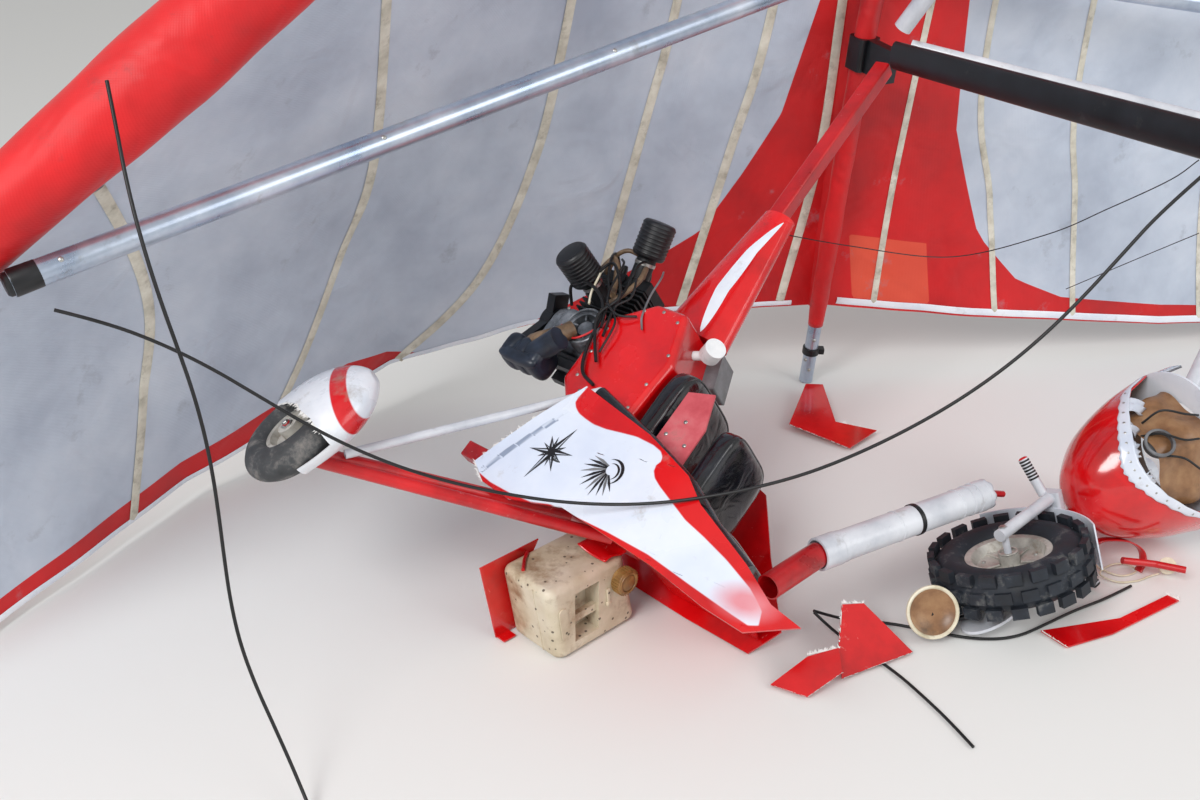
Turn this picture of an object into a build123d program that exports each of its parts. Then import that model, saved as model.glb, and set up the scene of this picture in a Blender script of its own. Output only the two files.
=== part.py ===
from build123d import *
from math import pi, radians, sin, tan
import os

os.makedirs("parts", exist_ok=True)

# Survey grid: x to the right, y away, z up, all in mm, on the ground that the wreck lies on.
# The part's origin is the middle of the footprint.
MIDDLE_X, MIDDLE_Y = 1167.08, 3255.89


def spot(x, y, z):
    """A point of the survey grid in the part's frame."""
    return Vector(x - MIDDLE_X, y - MIDDLE_Y, z)


# Wing
NOSE = spot(920, 3700, 2950)
KEEL_TAIL = spot(780, 4090, 3.5)
TIP_LEFT = spot(-2750, 1530, 14)
TIP_RIGHT = spot(5090, 4930, 14)
CROSS_CENTRE = spot(850, 3868, 1550)
CROSS_LEFT = spot(-1230, 2340, 1080)
CROSS_RIGHT = spot(3300, 4290, 1170)
KEEL_DIAMETER = 50
CROSSBAR_DIAMETER = 60
TUBE_WALL = 3
SLEEVE_RADII = (78, 104, 34)
SLEEVE_STATIONS = (0.015, 0.5, 0.995)
SAIL_THICKNESS = 4

# Control frame
CORNER_NEAR = spot(1360, 2520, 1315)
CORNER_FAR = spot(2300, 3200, 1050)
UPRIGHT_CHORD, UPRIGHT_THICKNESS = 84, 36
BASE_BAR_DIAMETER = 32

# The trike unit lies on its left side
TRIKE_FOOT = spot(-50, 2800, 288.5)
TRIKE = Plane(origin=TRIKE_FOOT, x_dir=(0.722, -0.692, 0), z_dir=(0.566, 0.590, 0.576))
MAST_LENGTH = 1690
MAST_SIZE = 50
KEEL_BEAM = 50
KEEL_REAR, KEEL_FRONT = -430, 585
POD_HALF_WIDTH = 280
POD_WALL = 6
POD_BULGE = 26

# Wheels
MAIN_TYRE_DIAMETER, MAIN_TYRE_WIDTH = 290, 84
NOSE_TYRE_DIAMETER, NOSE_TYRE_WIDTH = 430, 112
RIM_DIAMETER = 140
NOSE_RIM_DIAMETER = 230
AXLE_DIAMETER = 20
AXLE_CLEARANCE = 0.05

# The torn-off nose: local x from the wheel to the dash, local z along the axle
NOSE_WHEEL = spot(1110, 2690, 132.5)
NOSE_UNIT = Plane(origin=NOSE_WHEEL, x_dir=(0.740, 0.670, 0.050), z_dir=(-0.269, 0.228, 0.936))


def finish(piece, label, place=None):
    """Names a finished piece, puts it where it lies and writes it."""
    if place is not None:
        piece.part.locate(place.location)
    piece.part.label = label
    export_step(piece.part, f"parts/{label}.step")
    return piece


def tubes(*runs):
    """Round tubes. Each run holds: start, end, diameter, wall thickness. A wall of 0 makes a solid rod."""
    with BuildPart() as made:
        for start, end, diameter, wall in runs:
            with BuildSketch(Plane(origin=start, z_dir=end - start)):
                Circle(diameter / 2)
                if wall:
                    Circle(diameter / 2 - wall, mode=Mode.SUBTRACT)
            extrude(amount=(end - start).length)
    return made


def between(a, b, share):
    """The point that lies a share of the way from a to b."""
    return a + (b - a) * share


def sleeve(tip):
    """Fabric pocket over a leading edge: round, fullest in the middle, drawn in at nose and tip."""
    axis = tip - NOSE
    with BuildPart() as made:
        for station, radius in zip(SLEEVE_STATIONS, SLEEVE_RADII):
            with BuildSketch(Plane(origin=between(NOSE, tip, station), z_dir=axis)):
                Circle(radius)
        loft(ruled=True)
    return made


def sail(tip, stations):
    """One half of the sail: arched chords from the leading edge to the trailing edge, joined by ruled panels.

    Each row of stations holds: share of the leading edge, trailing-edge point, depth of the arch.
    """
    sections = []
    for share, trailing, arch in stations:
        lead = between(NOSE, tip, share)
        chord = trailing - lead
        slant = radians(chord.get_angle(tip - NOSE))
        lead = lead + chord.normalized() * (SLEEVE_RADII[1] + 4) / sin(slant)
        chord = trailing - lead
        back = Vector(0, 1, 0) - chord.normalized() * chord.normalized().Y
        plane = Plane(origin=lead, x_dir=chord, z_dir=chord.cross(back))
        side = 1 if plane.y_dir.Y > 0 else -1
        length = chord.length
        low, high = -side * SAIL_THICKNESS / 2, side * SAIL_THICKNESS / 2
        with BuildSketch(plane) as section:
            with BuildLine():
                ThreePointArc((0, low), (length * 0.4, side * arch + low), (length, low))
                Line((length, low), (length, high))
                ThreePointArc((length, high), (length * 0.4, side * arch + high), (0, high))
                Line((0, high), (0, low))
            make_face()
        sections.append(section.sketch.face())
    with BuildPart() as made:
        loft(sections=sections, ruled=True)
    return made


# Wing frame
finish(tubes((KEEL_TAIL, between(KEEL_TAIL, NOSE, 0.955), KEEL_DIAMETER, TUBE_WALL)), "wing_keel")

finish(sleeve(TIP_LEFT), "leading_edge_left")
finish(sleeve(TIP_RIGHT), "leading_edge_right")
crossbar = tubes(
    (CROSS_CENTRE + Vector(-46, -34, -10), CROSS_LEFT, CROSSBAR_DIAMETER, TUBE_WALL),
    (CROSS_CENTRE + Vector(46, 8, -8), CROSS_RIGHT, CROSSBAR_DIAMETER, TUBE_WALL),
)
finish(crossbar, "crossbar")

# share of the leading edge, trailing-edge point, depth of the arch
LEFT_STATIONS = (
    (0.030, spot(770, 4112, 300), 60),
    (0.150, spot(290, 4050, 300), 130),
    (0.300, spot(-250, 3975, 280), 150),
    (0.450, spot(-750, 3850, 180), 130),
    (0.600, spot(-1290, 3230, 70), 100),
    (0.750, spot(-1640, 2480, 22), 60),
    (0.880, spot(-2200, 1990, 14), 30),
    (0.960, spot(-2440, 1840, 10), 8),
)
RIGHT_STATIONS = (
    (0.030, spot(815, 4116, 300), 60),
    (0.150, spot(1400, 4190, 220), 130),
    (0.300, spot(2200, 4350, 120), 170),
    (0.500, spot(3100, 4550, 60), 150),
    (0.750, spot(4050, 4760, 30), 90),
    (0.955, spot(4690, 5000, 10), 8),
)
finish(sail(TIP_LEFT, LEFT_STATIONS), "sail_left")
finish(sail(TIP_RIGHT, RIGHT_STATIONS), "sail_right")

# Control frame, folded against the wing with one corner towards the front
hang_centre = between(KEEL_TAIL, NOSE, 0.4225)
mast_head = TRIKE.from_local_coords(Vector(0, 0, MAST_LENGTH))
with BuildPart() as hang_bracket:
    clamp = Plane(origin=hang_centre, x_dir=mast_head - hang_centre, z_dir=NOSE - KEEL_TAIL)
    with BuildSketch(clamp):
        RectangleRounded(76, 76, 14)
        with Locations((88, 0)):
            Rectangle(128, 34)
    extrude(amount=52, both=True)
    with BuildSketch(clamp):
        Circle(KEEL_DIAMETER / 2)
    extrude(amount=60, both=True, mode=Mode.SUBTRACT)
finish(hang_bracket, "hang_bracket")

frame_head = mast_head + Vector(-8, -62, 14)
near_axis = (CORNER_NEAR - frame_head).normalized()
with BuildPart() as upright_near:
    with BuildSketch(Plane(origin=frame_head, x_dir=(0, 0, 1), z_dir=near_axis)):
        Ellipse(UPRIGHT_CHORD / 2, UPRIGHT_THICKNESS / 2)
        Ellipse(UPRIGHT_CHORD / 2 - TUBE_WALL, UPRIGHT_THICKNESS / 2 - TUBE_WALL, mode=Mode.SUBTRACT)
    extrude(amount=(CORNER_NEAR - frame_head).length - 34)
finish(upright_near, "upright_near")
far_head = frame_head + Vector(52, 20, 26)
corner_axis = CORNER_FAR - CORNER_NEAR
upright_end = between(far_head, CORNER_FAR, 0.965)
with BuildPart() as control_frame:
    for start, end, diameter in ((far_head, upright_end, 34), (CORNER_NEAR, CORNER_FAR, BASE_BAR_DIAMETER)):
        with BuildSketch(Plane(origin=start, z_dir=end - start)):
            Circle(diameter / 2)
        extrude(amount=(end - start).length)
    with BuildSketch(Plane(origin=CORNER_NEAR, x_dir=corner_axis, z_dir=near_axis)):
        with Locations((12, 0)):
            RectangleRounded(68, 40, 12)
    extrude(amount=32, both=True)
finish(control_frame, "control_frame")

# Trike frame: beam, mast and its fairings
with BuildPart() as trike_beam:
    with BuildSketch(Plane(origin=(KEEL_REAR, 0, -40), x_dir=(0, 1, 0), z_dir=(1, 0, 0))):
        RectangleRounded(KEEL_BEAM, KEEL_BEAM, 6)
        RectangleRounded(KEEL_BEAM - 2 * TUBE_WALL, KEEL_BEAM - 2 * TUBE_WALL, 3, mode=Mode.SUBTRACT)
    extrude(amount=KEEL_FRONT - KEEL_REAR)
finish(trike_beam, "trike_beam", TRIKE)

with BuildPart() as mast:
    with BuildSketch(Plane.XY.offset(-14)):
        RectangleRounded(MAST_SIZE, MAST_SIZE, 8)
        RectangleRounded(MAST_SIZE - 2 * TUBE_WALL, MAST_SIZE - 2 * TUBE_WALL, 5, mode=Mode.SUBTRACT)
    extrude(amount=MAST_LENGTH - 40)
finish(mast, "mast", TRIKE)

# height, half chord, half thickness of the fairing round the mast
FAIRING_SECTIONS = ((545, 118, 50), (760, 88, 44), (1010, 52, 37))
with BuildPart() as mast_fairing:
    for height, chord, thickness in FAIRING_SECTIONS:
        with BuildSketch(Plane.XY.offset(height)):
            with Locations((10, 0)):
                Ellipse(chord, thickness)
    loft(ruled=True)
    with BuildSketch(Plane.XY.offset(540)):
        RectangleRounded(MAST_SIZE + 1, MAST_SIZE + 1, 8)
    extrude(amount=480, mode=Mode.SUBTRACT)
finish(mast_fairing, "mast_fairing", TRIKE)

with BuildPart() as rear_shroud:
    with BuildSketch(Plane.XZ):
        with BuildLine():
            Polyline((-120, 180), (-165, 230), (-165, 440), (-40, 538), (70, 538), (128, 380), (112, 180), (-120, 180))
        make_face()
    extrude(amount=168, both=True)
    fillet(rear_shroud.edges().filter_by(Axis.Y), 24)
    fillet(rear_shroud.faces().sort_by(Axis.Y)[0].edges() + rear_shroud.faces().sort_by(Axis.Y)[-1].edges(), 22)
    with BuildSketch(Plane.XY.offset(150)):
        RectangleRounded(MAST_SIZE + 1, MAST_SIZE + 1, 8)
    extrude(amount=420, mode=Mode.SUBTRACT)
finish(rear_shroud, "rear_shroud", TRIKE)

# Pod: two bulged side panels and a floor
RIGHT_OUTLINE = (
    (26, 190), (-44, 68), (-138, -120), (-77, -158), (25, -166), (183, -122), (327, -132), (495, -146),
    (660, -172), (774, -179), (886, -113), (800, -98), (700, -44), (516, 34), (445, 84), (285, 138),
)
LEFT_OUTLINE = (
    (20, 190), (-44, 68), (-110, -90), (327, -112), (540, -114), (585, -20), (516, 60), (440, 150), (330, 300),
    (230, 330), (150, 250),
)


def pod_side(outline, side):
    """Side panel of the pod: its outline cut from a wall that bulges outwards."""
    edge_y, middle_y = side * (POD_HALF_WIDTH - POD_BULGE), side * POD_HALF_WIDTH
    inner = side * POD_WALL
    with BuildPart() as made:
        with BuildSketch(Plane.XZ):
            with BuildLine():
                Polyline(*outline, outline[0])
            make_face()
        extrude(amount=400, both=True)
        with BuildSketch(Plane.YZ) as wall:
            with BuildLine():
                ThreePointArc((edge_y, -260), (middle_y, 30), (edge_y, 400))
                Line((edge_y, 400), (edge_y - inner, 400))
                ThreePointArc((edge_y - inner, 400), (middle_y - inner, 30), (edge_y - inner, -260))
                Line((edge_y - inner, -260), (edge_y, -260))
            make_face()
        extrude(amount=1200, both=True, mode=Mode.INTERSECT)
    return made


finish(pod_side(RIGHT_OUTLINE, -1), "pod_right", TRIKE)
finish(pod_side(LEFT_OUTLINE, 1), "pod_left", TRIKE)
with BuildPart() as pod_floor:
    with BuildSketch(Plane.XY.offset(-70)):
        with BuildLine():
            Polyline((255, -266), (548, -266), (575, -150), (575, 150), (545, 266), (255, 266), (255, -266))
        make_face()
    extrude(amount=5)
finish(pod_floor, "pod_floor", TRIKE)

with BuildPart() as coaming:
    with BuildLine() as rim_line:
        FilletPolyline((55, -247, 196), (285, -250, 128), (445, -251, 72), (560, -251, 6), (700, -249, -52), radius=60)
    with BuildSketch(Plane(origin=(55, -247, 196), z_dir=rim_line.line @ 0.02 - rim_line.line @ 0)):
        Circle(20)
    sweep()
finish(coaming, "coaming", TRIKE)

# Seats
with BuildPart() as seat_base:
    with BuildSketch(Plane.XZ):
        with BuildLine():
            Polyline((105, -15), (560, -15), (560, 22), (430, 44), (105, 44), (105, -15))
        make_face()
    extrude(amount=170, both=True)
    fillet(seat_base.edges().filter_by(Axis.Y).group_by(Axis.Z)[-1], 8)
finish(seat_base, "seat_base", TRIKE)


# Upholstered seat backs, one behind the other: x of the rear face, top
SEAT_BACKS = ((140, 400), (335, 345))
SEAT_TOP = 44
with BuildPart() as seat_backs:
    for x, top in SEAT_BACKS:
        with BuildSketch(Plane.YZ.offset(x)):
            with Locations((0, (SEAT_TOP + top) / 2)):
                RectangleRounded(340, top - SEAT_TOP, 60)
        extrude(amount=64)
    fillet(seat_backs.faces().filter_by(Axis.X).edges(), 26)
finish(seat_backs, "seat_backs", TRIKE)
with BuildPart() as seat_side:
    with BuildSketch(Plane.XZ.offset(150)):
        with BuildLine():
            Polyline((210, 44), (326, 44), (326, 250), (290, 350), (215, 330), (210, 44))
        make_face()
    extrude(amount=6)
finish(seat_side, "seat_side_panel", TRIKE)

# Landing gear: a saddle round the beam carries both legs
with BuildPart() as gear_block:
    with Locations((135, 0, -52)):
        Box(230, 90, 62)
    fillet(gear_block.edges().filter_by(Axis.X), 10)
    with Locations((135, 0, -40)):
        Box(240, KEEL_BEAM + 1, KEEL_BEAM + 1, mode=Mode.SUBTRACT)
finish(gear_block, "gear_block", TRIKE)

# Right wheel: hub, outward direction of its bent axle, and the way that its spat points, in the trike's frame
HUB_RIGHT = Vector(-327, -634, -350)
RIGHT_OUT = Vector(-0.281, -0.952, 0.127).normalized()
SPAT_WAY = Vector(0.40, 0.004, 0.92)
right_local = Plane(origin=HUB_RIGHT, x_dir=SPAT_WAY, z_dir=RIGHT_OUT)
wheel_plane_right = Plane(TRIKE.location * right_local.location)
HUB_LEFT = spot(100, 3430, 54.5)
wheel_plane_left = Plane(origin=HUB_LEFT, x_dir=(0.98, 0.12, -0.10), z_dir=(0.10, 0.06, 0.99))


def leg(*pairs, hub, axle_dir):
    """Gear leg: tubes that meet at a knuckle, and the stub axle that the wheel turns on."""
    with BuildPart() as made:
        for start, end, diameter in pairs:
            with BuildSketch(Plane(origin=start, z_dir=end - start)):
                Circle(diameter / 2)
            extrude(amount=(end - start).length)
        axle_plane = Plane(origin=hub - axle_dir * 88, z_dir=axle_dir)
        with BuildSketch(axle_plane):
            Circle(34)
        extrude(amount=24)
        with BuildSketch(axle_plane):
            Circle(AXLE_DIAMETER / 2)
        extrude(amount=88 + 40)
    return made


knuckle_right = HUB_RIGHT - RIGHT_OUT * 72
gear_right = leg(
    (Vector(62, -66, -86), knuckle_right, 42),
    (Vector(215, -66, -86), knuckle_right + Vector(10, 0, -14), 34),
    hub=HUB_RIGHT, axle_dir=RIGHT_OUT,
)
finish(gear_right, "gear_leg_right", TRIKE)

up_left = wheel_plane_left.z_dir
knuckle_left = HUB_LEFT + up_left * 92
leg_left_start = TRIKE.from_local_coords(Vector(62, 72, -86))
gear_left = leg((leg_left_start, knuckle_left, 42), hub=HUB_LEFT, axle_dir=-up_left)
finish(gear_left, "gear_leg_left")
gear_struts = tubes(
    (TRIKE.from_local_coords(Vector(-4, -181, 228)), TRIKE.from_local_coords(knuckle_right + Vector(60, 24, 40)), 24, 3),
    (TRIKE.from_local_coords(Vector(-4, 184, 228)), knuckle_left + Vector(4, -66, 44), 24, 3),
)
finish(gear_struts, "gear_struts")


def wheel(name, place, diameter, width, rim_diameter, lug_count, lug_height):
    """Tyre and rim about local z. The tyre is a rounded ring with a band of lugs, the rim a dished disc with a hub."""
    outer, half = diameter / 2, width / 2
    base = outer - lug_height
    inner = rim_diameter / 2
    with BuildPart() as tyre:
        with BuildSketch(Plane.XZ):
            with BuildLine():
                Line((inner, -half * 0.62), (inner, half * 0.62))
                ThreePointArc((inner, half * 0.62), (inner + (base - inner) * 0.5, half), (base - 14, half * 0.66))
                ThreePointArc((base - 14, half * 0.66), (base, 0), (base - 14, -half * 0.66))
                ThreePointArc((base - 14, -half * 0.66), (inner + (base - inner) * 0.5, -half), (inner, -half * 0.62))
            make_face()
        revolve(axis=Axis.Z)
        if lug_height:
            step = 360 / lug_count
            for row, turn in ((-0.42, 0), (0, step / 2), (0.42, 0)):
                depth = 0 if row == 0 else 5
                with PolarLocations(base - depth + (lug_height - 10) / 2, lug_count, start_angle=turn):
                    with Locations((0, 0, row * width)):
                        Box(lug_height + 10, 0.62 * pi_step(outer, lug_count), width * 0.27)
    finish(tyre, "tyre_" + name, place)
    with BuildPart() as rim:
        with BuildSketch(Plane.XZ):
            bore = AXLE_DIAMETER / 2 + AXLE_CLEARANCE
            with BuildLine():
                Polyline(
                    (bore, -40), (28, -40), (28, -8), (inner * 0.72, -4), (inner * 0.82, -half * 0.56), (inner, -half * 0.6),
                    (inner, half * 0.6), (inner * 0.86, half * 0.56), (inner * 0.76, 6), (28, 2), (28, 34), (bore, 34),
                    (bore, -40),
                )
            make_face()
        revolve(axis=Axis.Z)
    finish(rim, "rim_" + name, place)


def pi_step(radius, count):
    """Length of tread that one lug and its gap take."""
    return 2 * pi * radius / count


wheel("right", wheel_plane_right, MAIN_TYRE_DIAMETER, MAIN_TYRE_WIDTH, RIM_DIAMETER, 0, 0)
wheel("left", wheel_plane_left, MAIN_TYRE_DIAMETER, MAIN_TYRE_WIDTH, RIM_DIAMETER, 0, 0)
wheel("nose", NOSE_UNIT, NOSE_TYRE_DIAMETER, NOSE_TYRE_WIDTH, NOSE_RIM_DIAMETER, 20, 8)

# Spat over the right wheel: a hollow egg in the wheel's frame, x to its rounded end, z along the axle
# distance from the axle, half width, half thickness of the outside
SPAT_RINGS = ((-20, 154, 74), (60, 156, 75), (140, 132, 70), (205, 84, 46), (236, 30, 18))
SPAT_SKIN = 4.5
# The torn edge on the outer side, across the spat
SPAT_TEAR = ((-40, 170), (0, 168), (3, 51), (24, 30), (58, -28), (60, -62), (74, -106), (78, -170), (-40, -170), (-40, 170))
with BuildPart() as spat:
    for inset, mode in ((0, Mode.ADD), (SPAT_SKIN, Mode.SUBTRACT)):
        for distance, half_width, half_thickness in SPAT_RINGS:
            with BuildSketch(Plane.YZ.offset(distance - inset)):
                Ellipse(half_width - inset, half_thickness - inset)
        loft(mode=mode)
    with BuildSketch(Plane.XY.offset(-10)):
        with BuildLine():
            Polyline(*SPAT_TEAR)
        make_face()
    extrude(amount=120, mode=Mode.SUBTRACT)
    with BuildSketch(Plane.XY.offset(-100)):
        Circle(46)
    extrude(amount=60, mode=Mode.SUBTRACT)
    with BuildSketch(Plane.XY.offset(-69)):
        with Locations((86, 0)):
            Rectangle(112, 36)
        Circle(34.2, mode=Mode.SUBTRACT)
    extrude(amount=4.5)
finish(spat, "spat_right", wheel_plane_right)

# Engine behind the mast, with its gearbox and what is left of the propeller
ENGINE_X, ENGINE_BASE = -290, 336
with BuildPart() as engine_mount:
    with Locations((-276.25, 0, ENGINE_BASE - 12)):
        Box(222.5, 150, 12)
    with GridLocations(0, 120, 1, 2):
        with Locations((-276.25, 0, ENGINE_BASE - 33)):
            Box(222.5, 26, 30)
finish(engine_mount, "engine_mount", TRIKE)

with BuildPart() as crankcase:
    with BuildSketch(Plane.YZ.offset(ENGINE_X - 95)):
        with Locations((0, ENGINE_BASE + 69)):
            RectangleRounded(176, 150, 40)
    extrude(amount=190)
    fillet(crankcase.faces().filter_by(Axis.X).edges(), 12)
finish(crankcase, "engine_crankcase", TRIKE)

FIN_COUNT, FIN_PITCH, FIN_THICKNESS = 8, 16, 6
CYLINDER_BASE = ENGINE_BASE + 144
# carburettor throat: point where it leaves the cylinder, direction; the filter sits on its outer end
CARBURETTORS = (
    (Vector(ENGINE_X - 30, -93, 545), Vector(-0.25, -0.95, 0.1)),
    (Vector(ENGINE_X + 40, -60, 668), Vector(0.1, -0.5, 0.86)),
)
with BuildPart() as cylinders:
    with Locations((ENGINE_X + 48, 0), (ENGINE_X - 48, 0)):
        with Locations((0, 0, CYLINDER_BASE + 75)):
            Cylinder(38, 150)
        with Locations((0, 0, CYLINDER_BASE + 150)):
            Box(88, 110, 34)
        with Locations(*[(0, 0, CYLINDER_BASE + 14 + FIN_PITCH * fin) for fin in range(FIN_COUNT)]):
            Box(90, 118, FIN_THICKNESS)
    for root, direction in CARBURETTORS:
        with BuildSketch(Plane(origin=root - direction.normalized() * 45, z_dir=direction)):
            Circle(30)
        extrude(amount=89)
finish(cylinders, "engine_cylinders", TRIKE)

PROP_Z = ENGINE_BASE + 103
PROP_X = ENGINE_X - 95 - 58
with BuildPart() as gearbox:
    with BuildSketch(Plane.YZ.offset(ENGINE_X - 95)):
        with Locations((0, ENGINE_BASE + 80)):
            SlotCenterToCenter(46, 112, rotation=90)
    extrude(amount=-58)
    fillet(gearbox.faces().sort_by(Axis.X)[0].edges(), 12)
    with BuildSketch(Plane.YZ.offset(PROP_X)):
        with Locations((0, PROP_Z)):
            Circle(14)
    extrude(amount=-30)
finish(gearbox, "reduction_gearbox", TRIKE)

# stub: direction round the shaft in degrees, length from the centre
BLADE_STUBS = ((250, 128), (10, 104), (130, 92))
with BuildPart() as prop_hub:
    with BuildSketch(Plane.YZ.offset(PROP_X - 6)):
        with Locations((0, PROP_Z)):
            Circle(48)
    extrude(amount=-40)
    for turn, length in BLADE_STUBS:
        blade_plane = Plane(origin=(PROP_X - 26, 0, PROP_Z), x_dir=(1, 0, 0), z_dir=Vector(0, 1, 0).rotate(Axis.X, turn))
        with BuildSketch(blade_plane):
            Rectangle(30, 62)
        extrude(amount=length)
    with BuildSketch(Plane.YZ.offset(PROP_X + 1)):
        with Locations((0, PROP_Z)):
            Circle(14 + AXLE_CLEARANCE)
    extrude(amount=-31, mode=Mode.SUBTRACT)
finish(prop_hub, "propeller_hub", TRIKE)

with BuildPart() as starter:
    with BuildSketch(Plane.XZ.offset(88)):
        with Locations((-232, ENGINE_BASE + 66)):
            Circle(60)
    extrude(amount=53)
    fillet(starter.faces().sort_by(Axis.Y)[0].edges(), 12)
    with BuildSketch(Plane.XZ.offset(141)):
        with Locations((-232, ENGINE_BASE + 66)):
            Circle(42)
    extrude(amount=-34, mode=Mode.SUBTRACT)
finish(starter, "starter_housing", TRIKE)

with BuildPart() as silencer:
    with BuildSketch(Plane.YZ.offset(-395)):
        with Locations((-150, 250)):
            RectangleRounded(96, 84, 36)
    extrude(amount=150)
    fillet(silencer.faces().filter_by(Axis.X).edges(), 22)
    with BuildSketch(Plane(origin=(-300, -168, 250), z_dir=(0.62, -0.3, 0.50))):
        Circle(34)
    extrude(amount=110)
    with Locations((-320, -111.5, 296)):
        Box(30, 77, 20)
finish(silencer, "intake_silencer", TRIKE)

with BuildPart() as filters:
    for root, direction in CARBURETTORS:
        with BuildSketch(Plane(origin=root + direction.normalized() * 44, z_dir=direction)):
            Circle(50)
        extrude(amount=112)
    fillet(filters.edges().filter_by(GeomType.CIRCLE), 12)
finish(filters, "air_filters", TRIKE)

# Both stand on the sloping front face of the shroud
FACE_OUT = Vector(158, 0, 58).normalized()
FACE_UP = Vector(-58, 0, 158).normalized()
LAMP_ROOT = Vector(95, -70, 469.9)
BOX_ROOT = Vector(92.8, 60, 475.9)
with BuildPart() as lamp:
    with BuildSketch(Plane(origin=LAMP_ROOT + FACE_OUT * 0.1, z_dir=FACE_OUT)):
        Circle(13)
    extrude(amount=52)
    with BuildSketch(Plane(origin=LAMP_ROOT + FACE_OUT * 46, z_dir=(0.62, -0.72, 0.30))):
        Circle(30)
    extrude(amount=44)
finish(lamp, "lamp", TRIKE)
with BuildPart() as control_box:
    with Locations(Plane(origin=BOX_ROOT + FACE_OUT * 21.1, x_dir=FACE_OUT, z_dir=FACE_UP).location):
        Box(42, 88, 116)
    fillet(control_box.faces().sort_by(Axis.X)[-1].edges(), 5)
finish(control_box, "electrics_box", TRIKE)

# Fuel tank, dropped beside the pod and leaning
TANK = Plane(origin=spot(-66.2, 2603.5, 0), x_dir=(0.725, 0.689, 0), z_dir=(0, 0, 1))
TANK_LENGTH, TANK_WIDTH, TANK_HEIGHT, TANK_LEAN = 284, 190, 226, 42
TANK_ROUNDING = 30
RECESS_X = -44
with BuildPart() as tank:
    with BuildSketch(Plane.XY):
        RectangleRounded(TANK_LENGTH, TANK_WIDTH, TANK_ROUNDING)
    with BuildSketch(Plane.XY.offset(TANK_HEIGHT)):
        with Locations((-TANK_LEAN, 0)):
            RectangleRounded(TANK_LENGTH - 14, TANK_WIDTH, TANK_ROUNDING)
    loft()
    fillet(tank.faces().filter_by(Axis.Z).edges(), 20)
    with Locations((RECESS_X, -TANK_WIDTH / 2, TANK_HEIGHT * 0.5)):
        Box(84, 106, 150, mode=Mode.SUBTRACT)
    with Locations((RECESS_X, -TANK_WIDTH / 2 + 19, TANK_HEIGHT * 0.45)):
        Box(92, 16, 22)
    with BuildSketch(Plane.XZ.offset(TANK_WIDTH / 2)):
        with Locations((-124, 112)):
            SlotOverall(104, 26, rotation=98)
    extrude(amount=4)
finish(tank, "fuel_tank", TANK)
with BuildPart() as tank_cap:
    with BuildSketch(Plane.XZ.offset(TANK_WIDTH / 2 + 0.2)):
        with Locations((76, 158)):
            Circle(36)
    extrude(amount=30)
    fillet(tank_cap.faces().sort_by(Axis.Y)[0].edges(), 5)
finish(tank_cap, "tank_cap", TANK)
with BuildPart() as cradle:
    with BuildSketch(Plane.XZ.offset(-TANK_WIDTH / 2 - 5)):
        with BuildLine():
            Polyline((-196, 2), (-70, 2), (-70, 196), (-40, 242), (-236, 242), (-196, 2))
        make_face()
    extrude(amount=4)
    with BuildSketch(Plane.XY.offset(2)):
        with Locations((-173, TANK_WIDTH / 2 - 12)):
            Rectangle(40, 34)
    extrude(amount=4)
finish(cradle, "tank_cradle", TANK)

# Broken front end of the beam: red socket and the white tube that the front fork was carried by
STUB_START, STUB_END, FRONT_TUBE_END = spot(405, 2368, 288), spot(545, 2500, 292), spot(1030, 2770, 300)
finish(tubes((STUB_START, STUB_END, 66, 4)), "front_socket")
finish(tubes((STUB_END, FRONT_TUBE_END, 80, 3)), "front_tube")

# Torn fairing pieces on the ground: corners of each, all taken into the plane of the first three
SHARD_THICKNESS = 4
SHARDS = (
    ((425, 2345, 6), (510, 2300, 6), (600, 2340, 50), (600, 2400, 76), (520, 2390, 62)),
    ((606, 2366, 8), (808, 2470, 8), (690, 2560, 96), (630, 2540, 110), (610, 2440, 60)),
    ((756, 3955, 52), (818, 3950, 52), (823, 3700, 30), (955, 3646, 12), (845, 3541, 8), (660, 3690, 22)),
    ((1172, 2564, 2), (1218, 2496, 2), (1360, 2552, 2), (1597, 2697, 2), (1575, 2722, 2), (1403, 2618, 2)),
)
with BuildPart() as torn_fairing:
    for corners in SHARDS:
        corners = [spot(*corner) for corner in corners]
        first, second, third = corners[:3]
        plane = Plane(origin=first, x_dir=second - first, z_dir=(second - first).cross(third - first))
        flat = [plane.to_local_coords(corner) for corner in corners]
        with BuildSketch(plane):
            with BuildLine():
                Polyline(*[(point.X, point.Y) for point in flat], (flat[0].X, flat[0].Y))
            make_face()
        extrude(amount=SHARD_THICKNESS)
finish(torn_fairing, "torn_fairing")

# The nose: steering head and fork, in the unit's own frame
CROWN_X = 246
LEG_OFFSET = 92
PEG_DIAMETER = 28
PEGS = ((Vector(238, 20, 100), Vector(240, 63, 205)), (Vector(238, -20, -100), Vector(240, -88, -166)))
with BuildPart() as fork:
    with Locations((CROWN_X, 0, 0)):
        Box(32, 56, 2 * LEG_OFFSET + 36)
    fillet(fork.edges().filter_by(Axis.Z), 10)
    for side in (-1, 1):
        with BuildSketch(Plane(origin=(-22, 0, side * LEG_OFFSET), x_dir=(0, 1, 0), z_dir=(1, 0, 0))):
            Circle(17)
        extrude(amount=CROWN_X + 10)
    Cylinder(AXLE_DIAMETER / 2, 2 * LEG_OFFSET)
    with BuildSketch(Plane.YZ.offset(CROWN_X + 10)):
        Circle(13)
    extrude(amount=190)
    for start, end in PEGS:
        with BuildSketch(Plane(origin=start, z_dir=end - start)):
            Circle(PEG_DIAMETER / 2)
        extrude(amount=(end - start).length)
    with BuildSketch(Plane.XY.offset(-LEG_OFFSET - 8)):
        with Locations((-112, 10)):
            Ellipse(112, 62)
    extrude(amount=8)
finish(fork, "fork", NOSE_UNIT)

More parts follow.
